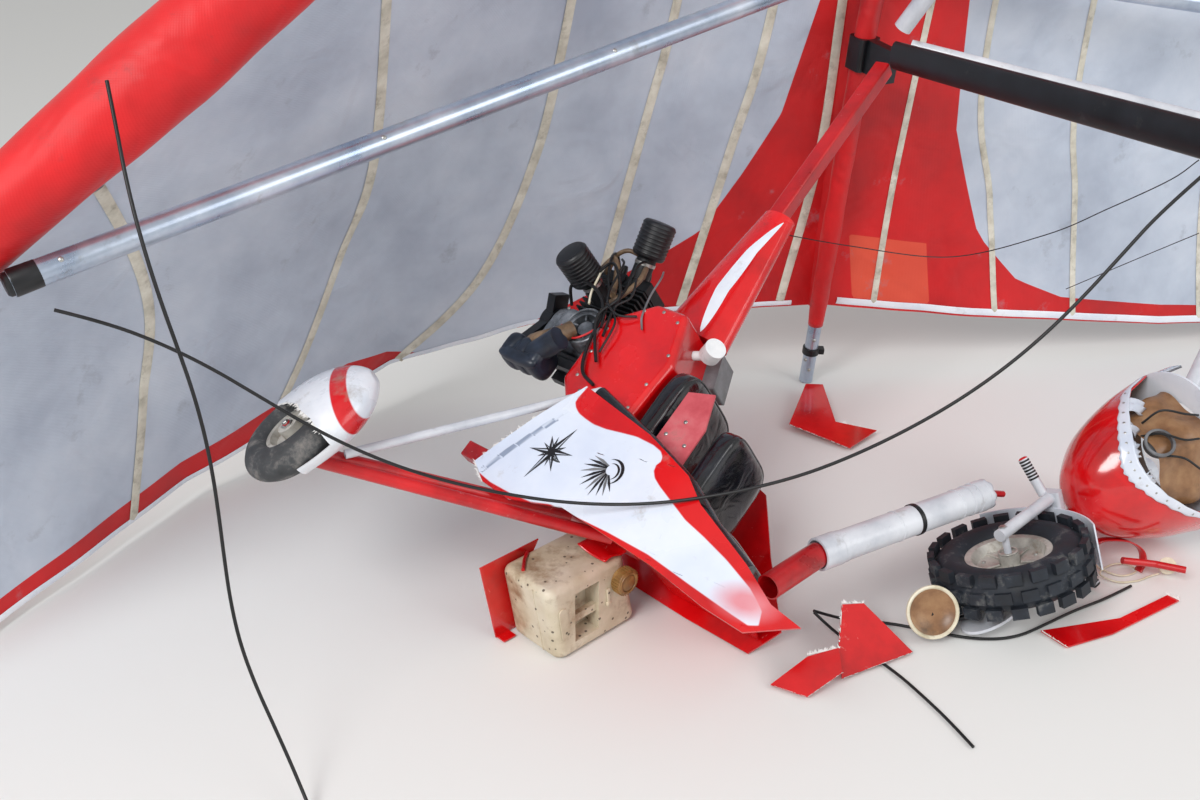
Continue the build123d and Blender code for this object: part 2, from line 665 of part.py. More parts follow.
with BuildPart() as steering_head:
    with BuildSketch(Plane.YZ.offset(CROWN_X + 30)):
        Circle(24)
        Circle(13 + AXLE_CLEARANCE, mode=Mode.SUBTRACT)
    extrude(amount=180)
finish(steering_head, "steering_head", NOSE_UNIT)

MUDGUARD_RADIUS = NOSE_TYRE_DIAMETER / 2 + 11
with BuildPart() as mudguard:
    with BuildSketch(Plane.XY.offset(-66)):
        Circle(MUDGUARD_RADIUS + 4)
        Circle(MUDGUARD_RADIUS, mode=Mode.SUBTRACT)
        with BuildLine():
            Polyline((0, 0), (400, -460), (-400, -460), (-400, 400), (330, 400), (0, 0))
        make_face(mode=Mode.SUBTRACT)
    extrude(amount=132)
    with Locations((CROWN_X, 0, 0)):
        Box(33, 57, 200, mode=Mode.SUBTRACT)
finish(mudguard, "nose_mudguard", NOSE_UNIT)

# Nose fairing: a hollow cone that flares to the dash
FAIRING = Plane(origin=spot(1283, 2842, 240), x_dir=(0.884, 0.432, 0.120), z_dir=(-0.12, -0.03, 1))
# distance along the fairing, half width, half height, outside and inside of the skin
FAIRING_OUTSIDE = ((42, 14, 16), (54, 62, 72), (90, 100, 120), (160, 145, 174), (280, 184, 222), (410, 205, 250))
FAIRING_INSIDE = ((49, 9, 11), (61, 56, 66), (96, 95, 115), (164, 140, 169), (282, 179, 217), (410, 200, 245))
with BuildPart() as fairing:
    for rings, mode in ((FAIRING_OUTSIDE, Mode.ADD), (FAIRING_INSIDE, Mode.SUBTRACT)):
        for distance, half_width, half_height in rings:
            with BuildSketch(Plane.YZ.offset(distance)):
                Ellipse(half_width, half_height)
        loft(mode=mode)
fairing.part.locate(FAIRING.location)
with BuildPart() as fairing_cut:
    add(fairing.part)
    head_plane = Plane(origin=NOSE_WHEEL, x_dir=NOSE_UNIT.y_dir, z_dir=NOSE_UNIT.x_dir)
    with BuildSketch(head_plane.offset(100)):
        Circle(240)
    extrude(amount=CROWN_X + 22 - 100, mode=Mode.SUBTRACT)
    with BuildSketch(head_plane.offset(100)):
        Circle(24.4)
    extrude(amount=500, mode=Mode.SUBTRACT)
finish(fairing_cut, "nose_fairing")

with BuildPart() as dash:
    with BuildSketch(Plane.YZ.offset(411)):
        Ellipse(205, 250)
        with Locations((-10, 20)):
            Ellipse(118, 150, mode=Mode.SUBTRACT)
    extrude(amount=7)
    with BuildSketch(Plane.YZ.offset(418)):
        with Locations((104, -128)):
            Circle(40)
    extrude(amount=35)
    with BuildSketch(Plane.YZ.offset(453)):
        with Locations((104, -128)):
            Circle(34)
    extrude(amount=-28, mode=Mode.SUBTRACT)
finish(dash, "dash_panel", FAIRING)
front_strut = tubes(
    (mast_head + Vector(20, -6, 84), spot(1290, 3560, 2030), 56, TUBE_WALL),
    (FAIRING.from_local_coords(Vector(434, -20, 215)), spot(1930, 3330, 830), 46, TUBE_WALL),
)
finish(front_strut, "front_strut")
with BuildPart() as screen:
    with BuildSketch(Plane.YZ.offset(419)):
        with BuildLine():
            ThreePointArc((60, 228), (120, 190), (160, 140))
            Line((160, 140), (166, 145))
            ThreePointArc((166, 145), (125, 195), (64, 234))
            Line((64, 234), (60, 228))
        make_face()
    extrude(amount=70)
finish(screen, "windscreen", FAIRING)

with BuildPart() as link:
    with BuildLine() as link_line:
        FilletPolyline(
            NOSE_UNIT.from_local_coords(Vector(335, -120, -132)), NOSE_UNIT.from_local_coords(Vector(410, -172, -172)),
            NOSE_UNIT.from_local_coords(Vector(440, -240, -196)), radius=24,
        )
    with BuildSketch(Plane(origin=link_line.line @ 0, z_dir=link_line.line % 0)):
        Circle(10)
    sweep()
    rod_start, rod_end = FRONT_TUBE_END + Vector(8, 26, -8), spot(1118, 2850, 255)
    with BuildSketch(Plane(origin=rod_start, z_dir=rod_end - rod_start)):
        Circle(9)
    extrude(amount=(rod_end - rod_start).length)
finish(link, "steering_links")


# Slack wires: each follows its points as straight runs joined by arcs
def slack_wire(label, diameter, points):
    """A wire of one diameter along its points. Each bend takes 0.45 of its shorter run."""
    radii = []
    for before, here, after in zip(points, points[1:], points[2:]):
        turn = radians((here - before).get_angle(after - here))
        run = min((here - before).length, (after - here).length)
        radii.append(0.45 * run / tan(turn / 2))
    with BuildPart() as made:
        with BuildLine() as route:
            FilletPolyline(*points, radius=radii)
        with BuildSketch(Plane(origin=route.line @ 0, z_dir=route.line % 0)):
            Circle(diameter / 2)
        sweep()
    length = sum(edge.length for edge in route.edges())
    share = made.part.volume / (length * pi * diameter**2 / 4)
    print(label, "length", round(length), "volume share", round(share, 4), "radii", [round(radius) for radius in radii])
    finish(made, label)


WIRE_DIAMETER = 8
SIDE_WIRE = (
    (-1140, 2318, 1030), (-1050, 2345, 990), (-948, 2362, 934), (-852, 2376, 868), (-760, 2388, 792), (-664, 2394, 718),
    (-565, 2400, 652), (-458, 2407, 596), (-345, 2414, 552), (-230, 2416, 522), (-110, 2410, 504), (10, 2398, 502),
    (125, 2374, 520), (238, 2352, 550), (355, 2346, 580), (470, 2354, 612), (582, 2370, 654), (690, 2388, 704),
    (796, 2406, 764), (893, 2422, 834), (982, 2438, 914), (1060, 2450, 1004), (1134, 2464, 1100), (1206, 2480, 1192),
    (1290, 2500, 1268),
)
LANDING_WIRE = (
    (-985, 2425, 1480), (-962, 2372, 1405), (-940, 2318, 1330), (-918, 2274, 1252), (-896, 2242, 1168), (-874, 2220, 1080),
    (-852, 2206, 990), (-833, 2196, 900), (-820, 2186, 806), (-813, 2174, 710), (-810, 2160, 614), (-808, 2144, 520),
    (-802, 2122, 426), (-786, 2094, 334), (-754, 2058, 248), (-714, 2020, 166), (-676, 1984, 84), (-640, 1940, 20),
    (-606, 1880, 5), (-560, 1820, 5),
)
LOOM = (
    (566, 2578, 60), (655, 2596, 14), (766, 2600, 6), (880, 2560, 6), (988, 2526, 6), (1094, 2532, 6), (1196, 2592, 6),
    (1296, 2654, 6), (1398, 2704, 6), (1490, 2764, 6),
)
LOOSE_CABLE = (
    (560, 2545, 80), (618, 2520, 28), (690, 2476, 5), (752, 2392, 5), (800, 2300, 5), (842, 2210, 5), (872, 2130, 5),
)
for label, points in (("side_wire", SIDE_WIRE), ("landing_wire", LANDING_WIRE), ("cable_loom", LOOM), ("loose_cable", LOOSE_CABLE)):
    slack_wire(label, WIRE_DIAMETER, [spot(*point) for point in points])
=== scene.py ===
import math

import bmesh
import bpy
import numpy as np
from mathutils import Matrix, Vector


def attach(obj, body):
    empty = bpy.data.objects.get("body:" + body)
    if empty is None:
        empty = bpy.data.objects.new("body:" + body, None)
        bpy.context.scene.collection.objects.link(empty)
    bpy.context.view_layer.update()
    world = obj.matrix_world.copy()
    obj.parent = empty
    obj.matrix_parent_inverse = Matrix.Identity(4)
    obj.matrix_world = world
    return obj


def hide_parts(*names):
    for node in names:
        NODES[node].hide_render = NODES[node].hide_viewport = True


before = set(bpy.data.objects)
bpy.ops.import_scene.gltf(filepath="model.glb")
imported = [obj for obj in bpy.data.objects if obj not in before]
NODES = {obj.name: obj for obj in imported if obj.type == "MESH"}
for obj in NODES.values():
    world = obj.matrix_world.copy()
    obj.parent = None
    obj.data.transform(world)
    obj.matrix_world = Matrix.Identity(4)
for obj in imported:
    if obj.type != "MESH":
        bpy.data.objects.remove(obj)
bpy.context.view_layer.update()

# Middle of the footprint on the survey grid (x right, y away, z up from below the photographer), in metres
MIDDLE = np.array((1.16708, 3.25589, 0.0))
CAMERA_HEIGHT, CAMERA_PITCH = 2.0, 27.0
SEEN_FROM = np.array((-MIDDLE[0], -MIDDLE[1], CAMERA_HEIGHT))


def spot(*point):
    """A point of the survey grid, in mm, in the part's frame in metres."""
    return np.array(point, float) / 1000 - MIDDLE


def spots(points):
    """Points of the survey grid, in mm, as rows in the part's frame in metres."""
    return np.array([spot(*point) for point in points])


def unit(vector):
    """Vectors of length 1 along the last axis."""
    vector = np.asarray(vector, float)
    return vector / np.linalg.norm(vector, axis=-1, keepdims=True)


class Place:
    """A local frame: origin in metres, local x and z directions. A local point is in mm."""

    def __init__(self, origin, x_dir, z_dir):
        self.origin = np.asarray(origin, float)
        self.z = unit(z_dir)
        self.x = unit(np.asarray(x_dir, float) - self.z * (self.z @ np.asarray(x_dir, float)))
        self.y = np.cross(self.z, self.x)

    def at(self, points):
        """Local points in mm, taken into the part's frame in metres."""
        return self.origin + np.asarray(points, float) / 1000 @ np.array((self.x, self.y, self.z))

    def way(self, direction):
        """A local direction, taken into the part's frame."""
        return np.asarray(direction, float) @ np.array((self.x, self.y, self.z))

    def within(self, points):
        """Points of the part's frame in metres, taken into this place, in mm."""
        return (np.asarray(points, float) - self.origin) @ np.array((self.x, self.y, self.z)).T * 1000


TRIKE = Place(spot(-50, 2800, 288.5), (0.722, -0.692, 0), (0.566, 0.590, 0.576))
NOSE_UNIT = Place(spot(1110, 2690, 132.5), (0.740, 0.670, 0.050), (-0.269, 0.228, 0.936))
FAIRING = Place(spot(1283, 2842, 240), (0.884, 0.432, 0.120), (-0.12, -0.03, 1))
TANK = Place(spot(-66.2, 2603.5, 0), (0.725, 0.689, 0), (0, 0, 1))
WHEEL_RIGHT = Place(TRIKE.at((-327, -634, -350)), TRIKE.way((0.40, 0.004, 0.92)), TRIKE.way((-0.281, -0.952, 0.127)))
NOSE = spot(920, 3700, 2950)
KEEL_TAIL = spot(780, 4090, 3.5)
TIP_LEFT = spot(-2750, 1530, 14)
TIP_RIGHT = spot(5090, 4930, 14)


# Materials
def linear(code, alpha=1.0):
    """An sRGB hex colour as linear light."""
    s = np.array([int(code[i : i + 2], 16) for i in (1, 3, 5)]) / 255
    return (*np.where(s <= 0.04045, s / 12.92, ((s + 0.055) / 1.055) ** 2.4), alpha)


def add(tree, kind, links=None, **settings):
    """Adds a shader node with its settings, socket values and links."""
    made = tree.nodes.new(kind)
    for name, value in settings.items():
        setattr(made, name, value)
    for name, value in (links or {}).items():
        if isinstance(value, bpy.types.NodeSocket):
            tree.links.new(value, made.inputs[name])
        else:
            made.inputs[name].default_value = value
    return made


def finish_of(
    name, tones, patch, rough, grain, relief, metallic=0.0, coat=0.0, dirt=None, cover=0.35, dirt_size=90, sheen=0.0,
    scratch=None, folds=0.0, fold_size=400, specks=None, painted=(), transmission=0.0, ior=1.5, weave=0.0,
):
    """A weathered finish in Object coordinates, sizes in mm.

    tones run from dark to light over patches. dirt lies in patches over a share cover of the surface, scratch is a
    lighter tone in thin streaks, specks are small round spots. grain is the bump's size and relief its height, folds
    the height of broad folds. painted holds pairs of attribute and tones; the tones show where it is above 0.
    weave is the spacing of two crossed sets of threads.
    """
    made = bpy.data.materials.new(name)
    made.use_nodes = True
    tree = made.node_tree
    shader = tree.nodes["Principled BSDF"]
    where = add(tree, "ShaderNodeTexCoord").outputs["Object"]
    broad = add(
        tree, "ShaderNodeTexNoise", {"Vector": where, "Scale": 1000 / patch, "Detail": 5.0, "Roughness": 0.6}
    ).outputs["Fac"]
    colour = None
    for attribute, shades in ((None, tones), *painted):
        shade = add(tree, "ShaderNodeValToRGB", {"Fac": broad})
        for element in range(len(shades) - 2):
            shade.color_ramp.elements.new(0.5)
        for element, code, place in zip(shade.color_ramp.elements, shades, np.linspace(0.3, 0.7, len(shades))):
            element.position = place
            element.color = linear(code)
        shade = shade.outputs["Color"]
        if attribute:
            mask = add(tree, "ShaderNodeAttribute", attribute_name=attribute).outputs["Fac"]
            mask = add(
                tree, "ShaderNodeMapRange", {"Value": mask, "From Min": -0.0015, "From Max": 0.0015}
            ).outputs["Result"]
            shade = add(tree, "ShaderNodeMix", {"Factor": mask, 6: colour, 7: shade}, data_type="RGBA").outputs[2]
        colour = shade
    if scratch:
        streak = add(
            tree, "ShaderNodeTexNoise",
            {"Vector": where, "Scale": 3300 / patch, "Detail": 8.0, "Roughness": 0.78, "Distortion": 1.5}
        )
        share = add(
            tree, "ShaderNodeMapRange",
            {"Value": streak.outputs["Fac"], "From Min": 0.64, "From Max": 0.70, "To Max": 0.8}
        ).outputs["Result"]
        colour = add(
            tree, "ShaderNodeMix", {"Factor": share, 6: colour, 7: linear(scratch)}, data_type="RGBA"
        ).outputs[2]
    if dirt:
        patches = add(
            tree, "ShaderNodeTexNoise", {"Vector": where, "Scale": 1000 / dirt_size, "Detail": 9.0, "Roughness": 0.68}
        )
        low = 0.64 - cover * 0.35
        share = add(
            tree, "ShaderNodeMapRange",
            {"Value": patches.outputs["Fac"], "From Min": low, "From Max": low + 0.2, "To Max": 0.85}
        ).outputs["Result"]
        colour = add(tree, "ShaderNodeMix", {"Factor": share, 6: colour, 7: linear(dirt)}, data_type="RGBA").outputs[2]
    if specks:
        spot_size, spot_tone = specks
        cells = add(tree, "ShaderNodeTexVoronoi", {"Vector": where, "Scale": 1000 / spot_size, "Randomness": 1.0})
        share = add(
            tree, "ShaderNodeMapRange",
            {"Value": cells.outputs["Distance"], "From Min": 0.13, "From Max": 0.17, "To Min": 0.85, "To Max": 0.0}
        )
        colour = add(
            tree, "ShaderNodeMix", {"Factor": share.outputs["Result"], 6: colour, 7: linear(spot_tone)},
            data_type="RGBA"
        ).outputs[2]
    tree.links.new(colour, shader.inputs["Base Color"])
    rough_share = add(
        tree, "ShaderNodeMapRange",
        {"Value": broad, "From Min": 0.3, "From Max": 0.7, "To Min": rough[0], "To Max": rough[1]}
    )
    tree.links.new(rough_share.outputs["Result"], shader.inputs["Roughness"])
    fine = add(tree, "ShaderNodeTexNoise", {"Vector": where, "Scale": 1000 / grain, "Detail": 3.0})
    bump = add(tree, "ShaderNodeBump", {"Height": fine.outputs["Fac"], "Strength": 1.0, "Distance": relief / 1000})
    if weave:
        for turn in (0, math.pi / 2):
            across = add(tree, "ShaderNodeMapping", {"Vector": where, "Rotation": (0.5, turn, 0.3)}).outputs["Vector"]
            threads = add(
                tree, "ShaderNodeTexWave", {"Vector": across, "Scale": 314 / weave, "Distortion": 0.6},
                bands_direction="X"
            )
            bump = add(
                tree, "ShaderNodeBump",
                {
                    "Height": threads.outputs["Fac"], "Strength": 0.5, "Distance": 0.0002,
                    "Normal": bump.outputs["Normal"]
                }
            )
    if folds:
        soft = add(
            tree, "ShaderNodeTexNoise", {"Vector": where, "Scale": 1000 / fold_size, "Detail": 2.0, "Distortion": 1.2}
        )
        bump = add(
            tree, "ShaderNodeBump",
            {"Height": soft.outputs["Fac"], "Strength": 1.0, "Distance": folds / 1000, "Normal": bump.outputs["Normal"]}
        )
    tree.links.new(bump.outputs["Normal"], shader.inputs["Normal"])
    shader.inputs["Metallic"].default_value = metallic
    shader.inputs["Coat Weight"].default_value = coat
    shader.inputs["Coat Roughness"].default_value = 0.1
    shader.inputs["Sheen Weight"].default_value = sheen
    shader.inputs["Transmission Weight"].default_value = transmission
    if not metallic:
        shader.inputs["IOR"].default_value = ior
    return made


# Anodised aluminium tube, drawn: a dull silver tinted sky blue as a painted reflection, with faint streaks
TUBE = finish_of(
    "anodised_drawn_aluminium", ("#93a3bb", "#b7c2d2", "#d3dae6"), 160, (0.24, 0.38), 0.6, 0.02, metallic=0.8,
    dirt="#8a8478", cover=0.12
)
# Aluminium tube, sprayed black: satin, with grey scuffs
BLACK_TUBE = finish_of(
    "black_sprayed_tube", ("#0a0b0e", "#121418", "#1c1f25"), 120, (0.3, 0.45), 0.8, 0.02, dirt="#4a4a48", cover=0.06
)
# Steel, powder-coated red: gloss with orange-peel skin, scuffed to dull patches
RED_PAINT = finish_of(
    "red_powder_coated_steel", ("#8e040a", "#ba0610", "#d20c14"), 140, (0.25, 0.45), 1.2, 0.03, coat=0.35,
    dirt="#5c3a34", cover=0.1, scratch="#d9b0aa"
)
# Steel, powder-coated white, chipped and rubbed grey
WHITE_PAINT = finish_of(
    "white_powder_coated_steel", ("#b4b9c2", "#c9ccd3", "#d9dce2"), 120, (0.28, 0.42), 1.2, 0.03, coat=0.3,
    dirt="#8d857a", cover=0.16, scratch="#9a9ca2"
)
# Glass-fibre laminate with white gel coat: hard and glossy, tinted blue as painted shade, dusty
WHITE_SHELL = finish_of(
    "white_gel_coated_laminate", ("#c5cddd", "#d9dfea", "#eaeef5"), 260, (0.18, 0.34), 8, 0.05, coat=0.5,
    dirt="#a09a90", cover=0.1
)
# The same laminate with red gel coat, scratched to the pale fibre
RED_SHELL = finish_of(
    "red_gel_coated_laminate", ("#a8040a", "#d2050c", "#e40c12"), 240, (0.14, 0.3), 8, 0.05, coat=0.7, dirt="#6a2a26",
    cover=0.06, scratch="#e0a09a"
)
# The pod's skin: white gel coat with a red border, rubbed to pink at the front tip, and painted shade along two creases
POD_SKIN = finish_of(
    "painted_pod_laminate", ("#cfd9ec", "#dee6f3", "#ebf0f8"), 420, (0.2, 0.34), 10, 0.06, coat=0.45, dirt="#a39c92",
    cover=0.08,
    painted=(
        ("red_border", ("#b0040a", "#d2050c", "#e20c12")), ("rubbed_tip", ("#d9646c", "#e08a92", "#e4b4bd")),
        ("crease_painted_shade", ("#8b97ad", "#9aa6bb"))
    ),
)
# The spat's skin: white gel coat with a red band near its round end
SPAT_SKIN = finish_of(
    "painted_spat_laminate", ("#c9d0dc", "#dde2ea", "#edf0f5"), 160, (0.2, 0.36), 8, 0.05, coat=0.4, dirt="#8f8678",
    cover=0.2,
    painted=(("red_band", ("#a80a12", "#c9121a", "#d82026")),),
)
# Vinyl-coated cloth, glossy black
VINYL = finish_of(
    "black_vinyl_cloth", ("#06070b", "#0b0d14", "#141824"), 90, (0.12, 0.26), 1.5, 0.08, coat=0.6, dirt="#3a3834",
    cover=0.06, folds=5, fold_size=70
)
# The same, faded by the sun to a dusty pink
FADED_VINYL = finish_of(
    "faded_red_vinyl_cloth", ("#b8404a", "#cc5a62", "#d87c80"), 90, (0.4, 0.6), 1.5, 0.08, dirt="#8a5c50", cover=0.2
)
# Tyre rubber, moulded: matt, greyed by dust in the hollows
RUBBER = finish_of(
    "moulded_tyre_rubber", ("#12161c", "#1c222b", "#2b323c"), 60, (0.55, 0.75), 2.5, 0.12, dirt="#7d7b76", cover=0.22,
    dirt_size=60
)
WORN_RUBBER = finish_of(
    "worn_grey_tyre_rubber", ("#2a2c2f", "#3e4042", "#55575a"), 50, (0.6, 0.8), 2.5, 0.15, dirt="#86807a", cover=0.35,
    dirt_size=50
)
# Cast aluminium wheel, sprayed pale grey
RIM = finish_of(
    "sprayed_cast_aluminium", ("#9a9892", "#bdbab3", "#d6d3ca"), 60, (0.35, 0.55), 1.5, 0.06, metallic=0.3,
    dirt="#7a6a52", cover=0.3, dirt_size=45
)
# Cast aluminium, as cast, oily
CASTING = finish_of(
    "sand_cast_aluminium", ("#4a4d52", "#74797f", "#a0a4aa"), 45, (0.32, 0.55), 2.0, 0.15, metallic=0.6, dirt="#1e1c1a",
    cover=0.3, dirt_size=40
)
# Cylinder castings, sprayed black
BLACK_CASTING = finish_of(
    "black_sprayed_casting", ("#0b0c0e", "#15171a", "#23262a"), 50, (0.4, 0.6), 2.0, 0.12, metallic=0.2, dirt="#4a443c",
    cover=0.15
)
# Polypropylene, moulded, blue-black
DARK_PLASTIC = finish_of(
    "moulded_dark_polypropylene", ("#131923", "#1e2735", "#2d3748"), 70, (0.3, 0.45), 1.2, 0.05, dirt="#5a564e",
    cover=0.12
)
BLACK_PLASTIC = finish_of(
    "moulded_black_polypropylene", ("#08090b", "#101115", "#1a1c21"), 70, (0.32, 0.5), 1.2, 0.05, dirt="#3f3c38",
    cover=0.08
)
GREY_PLASTIC = finish_of(
    "moulded_grey_polypropylene", ("#55565a", "#6e6f72", "#85868a"), 70, (0.35, 0.5), 1.2, 0.05, dirt="#4a4640",
    cover=0.15
)
# Polyethylene, blow-moulded tank: milky beige, waxy, with earth rubbed in and dark specks
TANK_SKIN = finish_of(
    "blow_moulded_polyethylene", ("#b8a98c", "#cfc3aa", "#ddd3bf"), 120, (0.35, 0.5), 3.0, 0.08, dirt="#7c5632",
    cover=0.42, dirt_size=85, specks=(26, "#3a2c1e")
)
CAP_PLASTIC = finish_of(
    "moulded_golden_brown_polyethylene", ("#7a5a2c", "#967040", "#ad8a52"), 40, (0.35, 0.5), 1.2, 0.05, dirt="#5a4026",
    cover=0.2
)
BROWN_DISH = finish_of(
    "brown_moulded_plastic", ("#6b4a30", "#8a6444", "#a17c58"), 70, (0.3, 0.45), 1.5, 0.05, dirt="#4a3826", cover=0.25
)
CREAM_PLASTIC = finish_of(
    "moulded_cream_plastic", ("#c9bfa2", "#dcd4bb", "#ebe5d2"), 50, (0.3, 0.45), 1.2, 0.03, dirt="#8f7f62", cover=0.2
)
# Lamp shell, moulded white
LAMP_SHELL = finish_of(
    "moulded_white_plastic", ("#d5d7da", "#e4e6e8", "#f1f2f3"), 60, (0.25, 0.4), 1.5, 0.02, dirt="#8a847a", cover=0.15
)
# Acrylic sheet, bent: clear
CLEAR = finish_of(
    "clear_acrylic_sheet", ("#e8eef5", "#f1f5fa", "#ffffff"), 200, (0.03, 0.1), 5, 0.01, transmission=0.9, ior=1.49
)
# Rubber covers and hoses, extruded
WIRE_COVER = finish_of("extruded_black_rubber", ("#08090a", "#0e0f11", "#17181b"), 60, (0.4, 0.55), 1.0, 0.03)
BROWN_HOSE = finish_of(
    "aged_brown_rubber_hose", ("#4f3d2c", "#6b5540", "#8a7258"), 40, (0.4, 0.6), 1.5, 0.06, dirt="#2a221a", cover=0.3
)
# Torn glass-fibre edge: dry white strands
TORN_FIBRE = finish_of(
    "torn_dry_glass_fibre", ("#d8d6d2", "#ebeae7", "#f6f5f3"), 20, (0.6, 0.8), 1.5, 0.2, dirt="#b0988c", cover=0.15
)
# Black vinyl film on the pod
BLACK_FILM = finish_of(
    "black_vinyl_film", ("#101114", "#17181c", "#202126"), 60, (0.3, 0.4), 1.5, 0.02, dirt="#6a6c74", cover=0.12,
    dirt_size=25
)
WHITE_FILM = finish_of(
    "white_vinyl_film", ("#d9e0ec", "#e6ebf4", "#f1f4f9"), 160, (0.24, 0.36), 3, 0.02, coat=0.3, dirt="#a7a4a0",
    cover=0.12
)
# Steel, plated: bolts, nuts and springs
PLATED = finish_of(
    "zinc_plated_steel", ("#8f8f8c", "#b3b3b0", "#cfcfcc"), 15, (0.3, 0.45), 0.8, 0.03, metallic=0.9, dirt="#5c5448",
    cover=0.2, dirt_size=12
)
RED_PLASTIC = finish_of(
    "moulded_red_plastic", ("#a80a12", "#c8121a", "#dc2228"), 40, (0.3, 0.45), 1.2, 0.03, dirt="#6a3a30", cover=0.12
)
# Woven polyester sailcloth; its threads are drawn 5 mm apart, coarser than cloth, so that they show
RED_CLOTH = finish_of(
    "red_woven_sailcloth", ("#a8040e", "#c8060e", "#dc0c14"), 300, (0.45, 0.6), 1.5, 0.1, sheen=0.1, dirt="#8a2226",
    cover=0.12, folds=14, fold_size=220, weave=5
)
# White sailcloth whose grey-blue tones are painted shade; its red panels and orange patch are its own colours
SHADE_GREY_SAIL_CLOTH = finish_of(
    "white_woven_sailcloth_painted_shade_grey", ("#a5afc0", "#bcc6d5", "#cfd7e3"), 480, (0.42, 0.58), 1.5, 0.1, sheen=0.1,
    dirt="#8b909a", cover=0.1, dirt_size=160,
    folds=16, fold_size=260, weave=5,
    painted=(("red_panel", ("#a8040e", "#c8060e", "#dc0c14")), ("orange_patch", ("#d8402a", "#e4543a"))),
)
# Polyester webbing sewn over the battens, ivory, greyed along the middle
WEBBING = finish_of(
    "ivory_polyester_webbing", ("#b9b5a6", "#d3cfc0", "#e6e3d6"), 60, (0.55, 0.7), 3.0, 0.2, dirt="#8f8878", cover=0.3,
    dirt_size=50, weave=4
)

CARRIED_OVER = {
    TUBE: ("wing_keel", "crossbar"),
    BLACK_TUBE: ("hang_bracket", "upright_near", "engine_mount", "propeller_hub"),
    WHITE_PAINT: ("control_frame", "front_strut", "gear_struts", "front_tube", "fork"),
    RED_PAINT: (
        "front_socket", "gear_block", "gear_leg_left", "gear_leg_right", "mast", "steering_head", "steering_links",
        "trike_beam"
    ),
    RED_SHELL: ("mast_fairing", "rear_shroud", "pod_left", "pod_floor", "torn_fairing", "nose_fairing", "tank_cradle"),
    WHITE_SHELL: ("dash_panel", "nose_mudguard"),
    VINYL: ("coaming", "seat_base"),
    FADED_VINYL: ("seat_side_panel",),
    CASTING: ("engine_crankcase", "reduction_gearbox", "starter_housing"),
    BLACK_CASTING: ("engine_cylinders",),
    DARK_PLASTIC: ("intake_silencer",),
    GREY_PLASTIC: ("electrics_box",),
    BLACK_PLASTIC: ("air_filters",),
    LAMP_SHELL: ("lamp",),
    TANK_SKIN: ("fuel_tank",),
    CAP_PLASTIC: ("tank_cap",),
    CLEAR: ("windscreen",),
    RUBBER: ("tyre_nose",),
    WORN_RUBBER: ("tyre_right", "tyre_left"),
    RIM: ("rim_right", "rim_left", "rim_nose"),
}
for finish, names in CARRIED_OVER.items():
    for name in names:
        NODES[name].data.materials.clear()
        NODES[name].data.materials.append(finish)


# Camera: 36 mm lens on a 36 mm wide frame, 2 m up, 27 degrees down
camera = bpy.data.objects.new("camera", bpy.data.cameras.new("camera"))
bpy.context.scene.collection.objects.link(camera)
camera.location = SEEN_FROM
camera.rotation_euler = (math.radians(90 - CAMERA_PITCH), 0, 0)
camera.data.lens = 36
camera.data.sensor_width = 36
bpy.context.scene.camera = camera
bpy.context.scene.view_settings.view_transform = "Standard"


# Slack wires
def slack_wire(name, points, diameter):
    """A free wire: a smooth NURBS curve whose control points are the route, in mm on the survey grid."""
    line = bpy.data.curves.new(name + "_line", "CURVE")
    line.dimensions = "3D"
    route = spots(points)
    spline = line.splines.new("NURBS")
    spline.points.add(len(route) - 1)
    spline.points.foreach_set("co", np.column_stack((route, np.ones(len(route)))).ravel())
    spline.order_u = 3
    spline.use_endpoint_u = True
    spline.resolution_u = 8
    line.bevel_depth = diameter / 2
    line.bevel_resolution = 4
    line.use_fill_caps = True
    wire = bpy.data.objects.new(name + "_cover", line)
    bpy.context.scene.collection.objects.link(wire)
    line.materials.append(WIRE_COVER)
    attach(wire, "airframe")
    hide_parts(name)


SIDE_WIRE = (
    (-1140, 2318, 1030), (-1050, 2345, 990), (-948, 2362, 934), (-852, 2376, 868), (-760, 2388, 792), (-664, 2394, 718),
    (-565, 2400, 652), (-458, 2407, 596), (-345, 2414, 552), (-230, 2416, 522), (-110, 2410, 504), (10, 2398, 502),
    (125, 2374, 520), (238, 2352, 550), (355, 2346, 580), (470, 2354, 612), (582, 2370, 654), (690, 2388, 704),
    (796, 2406, 764), (893, 2422, 834), (982, 2438, 914), (1060, 2450, 1004), (1134, 2464, 1100), (1206, 2480, 1192),
    (1290, 2500, 1268),
)
LANDING_WIRE = (
    (-985, 2425, 1480), (-962, 2372, 1405), (-940, 2318, 1330), (-918, 2274, 1252), (-896, 2242, 1168),
    (-874, 2220, 1080),
    (-852, 2206, 990), (-833, 2196, 900), (-820, 2186, 806), (-813, 2174, 710), (-810, 2160, 614), (-808, 2144, 520),
    (-802, 2122, 426), (-786, 2094, 334), (-754, 2058, 248), (-714, 2020, 166), (-676, 1984, 84), (-640, 1940, 20),
    (-606, 1880, 5), (-560, 1820, 5),
)
LOOM = (
    (566, 2578, 60), (655, 2596, 14), (766, 2600, 6), (880, 2560, 6), (988, 2526, 6), (1094, 2532, 6), (1196, 2592, 6),
    (1296, 2654, 6), (1398, 2704, 6), (1490, 2764, 6),
)
LOOSE_CABLE = (
    (560, 2545, 80), (618, 2520, 28), (690, 2476, 5), (752, 2392, 5), (800, 2300, 5), (842, 2210, 5), (872, 2130, 5),
)
slack_wire("side_wire", SIDE_WIRE, 0.008)
slack_wire("landing_wire", LANDING_WIRE, 0.008)
slack_wire("cable_loom", LOOM, 0.008)
slack_wire("loose_cable", LOOSE_CABLE, 0.008)


